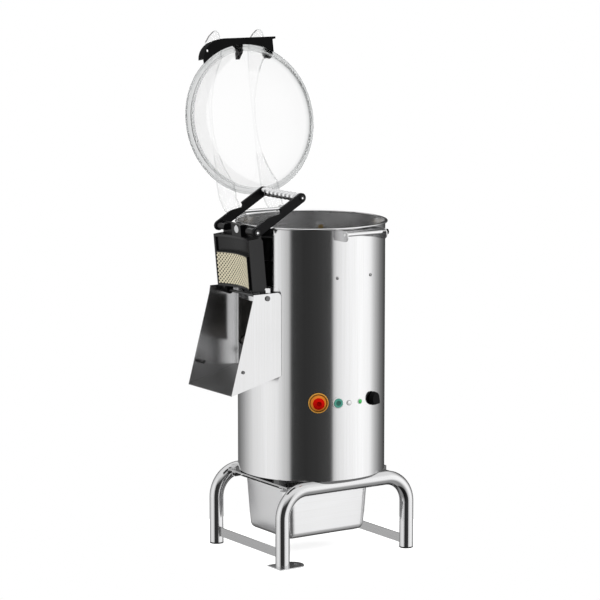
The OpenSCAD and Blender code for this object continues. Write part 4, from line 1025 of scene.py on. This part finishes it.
class PEELER_OT_clamp(bpy.types.Operator):
    """Make the clamp handle with its ribbed grip"""
    bl_idname = "peeler.clamp"
    bl_label = "Clamp handle"

    def execute(self, context):
        softened_piece("handle_arms", "black_arm", 1.2, 3)
        low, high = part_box("handle_grip")
        middle = (low + high) / 2
        half = (high.y - low.y) / 2 / MM
        body, r, pitch = 88.5, 11.5, 19.6
        groove = r - 2.6
        end = [(0, half - 1), (2.4, half - 1), (2.8, half), (5.3, half), (6.5, half - 1.2),
               (6.5, half - 3.8), (4, half - 4), (4, body), (r - 1, body), (r, body - 1),
               (r, body - 18), (groove, body - 19)]
        profile = [(reach, -along) for reach, along in end]
        for i in range(-3, 4):
            profile += [(reach, i * pitch + along) for reach, along in (
                (groove, -8.6), (r - 0.6, -7), (r + 0.5, 0), (r - 0.6, 7), (groove, 8.6))]
        profile += end[::-1]
        grip = turned_piece("handle_grip_ribbed", profile, [facing(middle, (0, 1, 0))], 48,
                            "handle_grip", "bright_steel", angle=50)

        def look(face):
            """Dark bolt heads whose middles are painted bright as a glint at the ends; painted shade in the
            grooves between the ribs.
            """
            reach = from_axis_y(face.center, middle)
            if abs(face.center.y) > high.y - 4.5 * MM:
                # painted highlight: the bolt heads' middles keep the bright steel as a glint
                return reach > 2.6 * MM
            return 2 * (reach < (r - 2.2) * MM)

        paint_faces(grip, look, "dark_bolt", "groove_steel")
        return {"FINISHED"}


# ---- Lid ----

class PEELER_OT_lid(bpy.types.Operator):
    """Make the clear lid, its ribs, its handle and its hinge"""
    bl_idname = "peeler.lid"
    bl_label = "Lid"

    def execute(self, context):
        looks = context.scene.peeler
        self.dome(looks.tub_steps)
        ribs = softened_piece("lid_ribs", "clear_rib", 1.2, 3)
        # painted shade: the ribs' edge-on sides get the edge value, which greys the clear plastic
        edge = ribs.data.attributes.new("edge", "FLOAT", "FACE")
        for polygon in ribs.data.polygons:
            edge.data[polygon.index].value = float(abs(polygon.normal.x) < 0.5)
        self.handle()
        soften_nodes(("handle_screws", "bright_steel", 0.5), ("lid_hinge_pin", "bright_steel", 0.8),
                     ("hinge_bracket", "plate_across", looks.edge / MM))
        return {"FINISHED"}

    def handle(self):
        """The handle's rounded copy, its feet let into the clear rim."""
        centre, sphere = dome_sphere()
        bm = copied("lid_handle")
        soften(bm, 1.0 * MM, 3)
        bmesh.ops.transform(bm, matrix=LID_SWING.inverted(), verts=bm.verts)
        for v in bm.verts:
            away = (v.co - centre).length
            if away < sphere + 0.8 * MM:
                v.co = centre + (v.co - centre) * (1 - FEET_SUNK / away)
            reach = math.hypot(v.co.x, v.co.y)
            if reach < LID_R + 1.2 * MM and v.co.z < LID_Z + 11 * MM:
                v.co.x *= 1 - FEET_SUNK / reach
                v.co.y *= 1 - FEET_SUNK / reach
        bmesh.ops.transform(bm, matrix=LID_SWING, verts=bm.verts)
        add_piece("lid_handle_rounded", bm, "lid_handle", "black_plastic", outward=False)

    def dome(self, steps):
        """A blown dome with a stepped rim and a collar that fits in the tub's mouth."""
        rim, low = LID_R / MM, LID_Z / MM
        foot = (LID_R - DOME_INSET) / MM
        centre, sphere = dome_sphere()[0].z / MM, dome_sphere()[1] / MM
        inner = sphere - 4.0
        flange, step, step_r = low + 6, low + 10.2, rim - 6
        collar, collar_in = 195.0, 195.0 - 4.8
        shade_start, clear = 130, 0.14
        reach = math.degrees(math.asin((step + 0.8 - centre) / sphere))
        inner_reach = math.degrees(math.asin((low + 1 - centre) / inner))
        profile = [(0, centre + sphere)] + arc(0, centre, sphere, 89, reach, 40)
        profile += [(step_r - 1.5, step)] + arc(step_r - 1, step - 1, 1, 90, 0, 3)
        profile += [(step_r, flange + 0.8), (step_r + 0.8, flange)]
        profile += arc(rim - 1.5, flange - 1.5, 1.5, 90, 0, 4)
        profile += arc(rim - 1.5, low + 1.5, 1.5, 0, -90, 4)
        profile += [(collar + 0.6, low), (collar, low - 0.6), (collar, low - 11.6),
                    (collar - 0.8, low - 12.4), (collar_in + 0.8, low - 12.4),
                    (collar_in, low - 11.6), (collar_in, low)]
        profile += arc(0, centre, inner, inner_reach, 89, 40) + [(0, centre + inner)]
        bm = bmesh.new()
        turned(bm, profile, Matrix.Identity(4), steps)
        # painted shade: the edge value greys the rim and the collar fully, and the dome in a soft band that grows
        # from 130 mm out to its foot, up to 0.14
        edge = bm.verts.layers.float.new("edge")
        for v in bm.verts:
            reach = math.hypot(v.co.x, v.co.y) / MM
            shaded_rim = reach > foot - 1 or v.co.z < low * MM
            v[edge] = 1.0 if shaded_rim else clear * max(0.0, (reach - shade_start) / (foot - shade_start)) ** 2
        bmesh.ops.transform(bm, matrix=LID_SWING, verts=bm.verts)
        add_piece("lid_dome_blown", bm, "lid_dome", "clear_lid", angle=40)


class PEELER_OT_latch(bpy.types.Operator):
    """Make the front latch bar"""
    bl_idname = "peeler.latch"
    bl_label = "Latch bar"

    def execute(self, context):
        soften_nodes(("latch_brackets", "plate_upright", context.scene.peeler.edge / MM),
                     ("latch_rod", "bright_steel", 0.8, 3), ("rod_cap", "black_plastic", 0.8, 3))
        return {"FINISHED"}


# ---- Controls ----

class PEELER_OT_controls(bpy.types.Operator):
    """Make the emergency stop, the start button, the lamps and the timer knob"""
    bl_idname = "peeler.controls"
    bl_label = "Controls"

    def execute(self, context):
        self.emergency_stop()
        self.start_button()
        self.lamps()
        self.knob()
        return {"FINISHED"}

    def knob(self):
        """The pointer knob, its cap drawn in towards its skirt."""
        place = on_tub(TIMER_ANGLE, TIMER_Z)
        skirt = 4 * MM
        bm = copied("timer_knob")
        bmesh.ops.transform(bm, matrix=place.inverted(), verts=bm.verts)
        for v in bm.verts:
            if v.co.z > skirt:
                v.co = Vector((v.co.x * 0.86, v.co.y * 0.86, v.co.z * 0.8))
        bmesh.ops.transform(bm, matrix=place, verts=bm.verts)
        soften(bm, 1.6 * MM, 3)
        add_piece("timer_knob_rounded", bm, "timer_knob", "black_plastic", outward=False)

    def emergency_stop(self):
        """A gold collar with a groove painted in shade and an orange face, on a black ring that stands for the
        shadow round it, and a red head whose sunk middle is painted in shade.
        """
        place = on_tub(ESTOP_ANGLE, ESTOP_Z)
        profile = [(12.3, -15), (14, -15), (14, 1.2), (25.6, 1.2), (26.9, 2.4), (26.9, 5.4)]
        profile += arc(25.3, 6.2, 1.6, 0, 180, 8)
        profile += [(23.7, 3.4), (21.6, 3.4), (21.4, 4.6), (12.3, 4.6)]
        collar = turned_piece("estop_collar_turned", profile, [place], 96, "estop_collar",
                              "estop_gold")
        # painted shade: the groove and the collar's inner faces take the darker copy
        paint_faces(collar, lambda f: from_place(place, f.center)[0] < 24.2, "estop_groove")
        # painted shadow: a black rubber ring under the collar stands for the shadow gap round it
        profile = [(14.4, 0.3), (27.6, 0.3), (28, 0.7), (28, 1.5), (27.4, 2.0), (14.4, 2.0)]
        turned_piece("estop_shadow_ring", profile, [place], 96, "estop_collar", "rubber", stands=False)
        profile = [(13, 4.4), (21.3, 4.4), (21.3, 5.2), (20.9, 5.6), (13, 5.6)]
        turned_piece("estop_face", profile, [place], 96, "estop_collar", "estop_orange",
                     stands=False)
        profile = [(0, -13), (12, -13), (12, 12), (14, 12), (15.4, 12.8)]
        profile += arc(13.5, 15.2, 2.3, -20, 75, 6)
        profile += [(11.2, 19.8), (9.4, 22.4), (7.8, 23.2), (6.4, 22.6), (5.6, 20.2), (0, 19.8)]
        head = turned_piece("estop_head", profile, [place], 64, "estop_button", "estop_red")
        self.shade_middle(head, place, 6.2, 15, "estop_deep")

    def shade_middle(self, piece, place, reach, height, look):
        """Paints shade on a button's sunk middle, within a reach and above a height in mm, with a darker look."""
        def pick(face):
            """Whether a face lies in the middle."""
            away, up = from_place(place, face.center)
            return away < reach and up > height

        paint_faces(piece, pick, look)

    def start_button(self):
        """A green push button with painted shade in its sunk middle, in a pale bezel."""
        place = on_tub(START_ANGLE, START_Z)
        profile = [(12.3, -15), (14, -15), (14, 0.2), (15, 0.2)]
        profile += arc(13.7, 3.2, 1.3, 0, 180, 8) + [(12.3, 3)]
        turned_piece("start_bezel_turned", profile, [place], 64, "start_bezel", "bezel_white")
        profile = [(0, -8), (12, -8), (12, 5)] + arc(11, 5, 1, 0, 90, 4)
        profile += [(7, 5.9), (6, 5.0), (0, 4.8)]
        button = turned_piece("start_button_turned", profile, [place], 64, "start_button",
                              "button_green")
        self.shade_middle(button, place, 6.6, 3, "button_deep")

    def lamps(self):
        """Two pilot lamps with domed lenses."""
        profile = [(4.9, -9), (5.5, -9), (5.5, 0.2), (7.2, 0.2), (7.2, 0.9), (6.8, 1.3),
                   (5.2, 1.4), (4.9, 1.2)]
        places = [on_tub(angle, CONTROL_Z) for angle in (WHITE_ANGLE, GREEN_ANGLE)]
        rings = turned_piece("lamp_bezels_turned", profile, places, 40, "lamp_bezels",
                             "dull_steel")
        between = TUB_R * math.sin(math.radians((WHITE_ANGLE + GREEN_ANGLE) / 2))
        paint_faces(rings, lambda f: f.center.x > between, "bezel_white")
        for node, place, look, r in (("white_lens", places[0], "lens_white", 5.2),
                                     ("green_lens", places[1], "lens_green", 6.2)):
            profile = [(0, -8), (4.8, -8), (4.8, 1.5), (r, 1.5)] + arc(0, -2.4, r + 0.9, 48, 90, 8)
            turned_piece(node + "_domed", profile, [place], 40, node, look)


# ---- Drive, water and electrics ----

class PEELER_OT_inside(bpy.types.Operator):
    """Finish the liner, the disc, the drive, the motor and the fittings"""
    bl_idname = "peeler.inside"
    bl_label = "Inside"

    def execute(self, context):
        soften_nodes(
            ("wall_liner", "liner_grit", 0.6), ("abrasive_disc", "disc_grit", 1.5),
            ("drive_shaft", "bright_steel", 0.6), ("bearing_housing", "grey_casting", 1.2),
            ("shaft_bearings", "bright_steel", 0.5), ("shaft_seal", "rubber", 0.4),
            ("driven_pulley", "grey_casting", 0.4), ("drive_belt", "rubber", 0.4),
            ("motor_body", "motor_paint", 0.9), ("motor_shaft", "bright_steel", 0.5),
            ("motor_pulley", "grey_casting", 0.4), ("motor_bracket", "dull_steel", 0.5),
            ("drain_pipe", "dull_steel", 0.4), ("water_inlet", "bright_steel", 0.4),
            ("spray_nozzle", "brass", 0.4), ("cable_gland", "black_plastic", 0.6),
            ("control_box", "box_plastic", 1.5), ("timer_body", "black_plastic", 0.8))
        return {"FINISHED"}


STEPS = (
    PEELER_OT_stage, PEELER_OT_stand, PEELER_OT_pan, PEELER_OT_tub, PEELER_OT_chute,
    PEELER_OT_door, PEELER_OT_clamp, PEELER_OT_lid, PEELER_OT_latch, PEELER_OT_controls,
    PEELER_OT_inside)


class PEELER_PT_panel(bpy.types.Panel):
    """Lists the settings and the steps in the sidebar"""
    bl_idname = "PEELER_PT_panel"
    bl_label = "Potato Peeler"
    bl_space_type = "VIEW_3D"
    bl_region_type = "UI"
    bl_category = "Peeler"

    def draw(self, context):
        for name in PeelerSettings.__annotations__:
            self.layout.prop(context.scene.peeler, name)
        for step in STEPS:
            self.layout.operator(step.bl_idname)


CLASSES = (PeelerSettings, *STEPS, PEELER_PT_panel)


def register():
    for made in CLASSES:
        bpy.utils.register_class(made)
    bpy.types.Scene.peeler = PointerProperty(type=PeelerSettings)


def unregister():
    del bpy.types.Scene.peeler
    for made in reversed(CLASSES):
        bpy.utils.unregister_class(made)


def main():
    register()
    for step in STEPS:
        area, name = step.bl_idname.split(".")
        getattr(getattr(bpy.ops, area), name)()


if __name__ == "__main__":
    main()
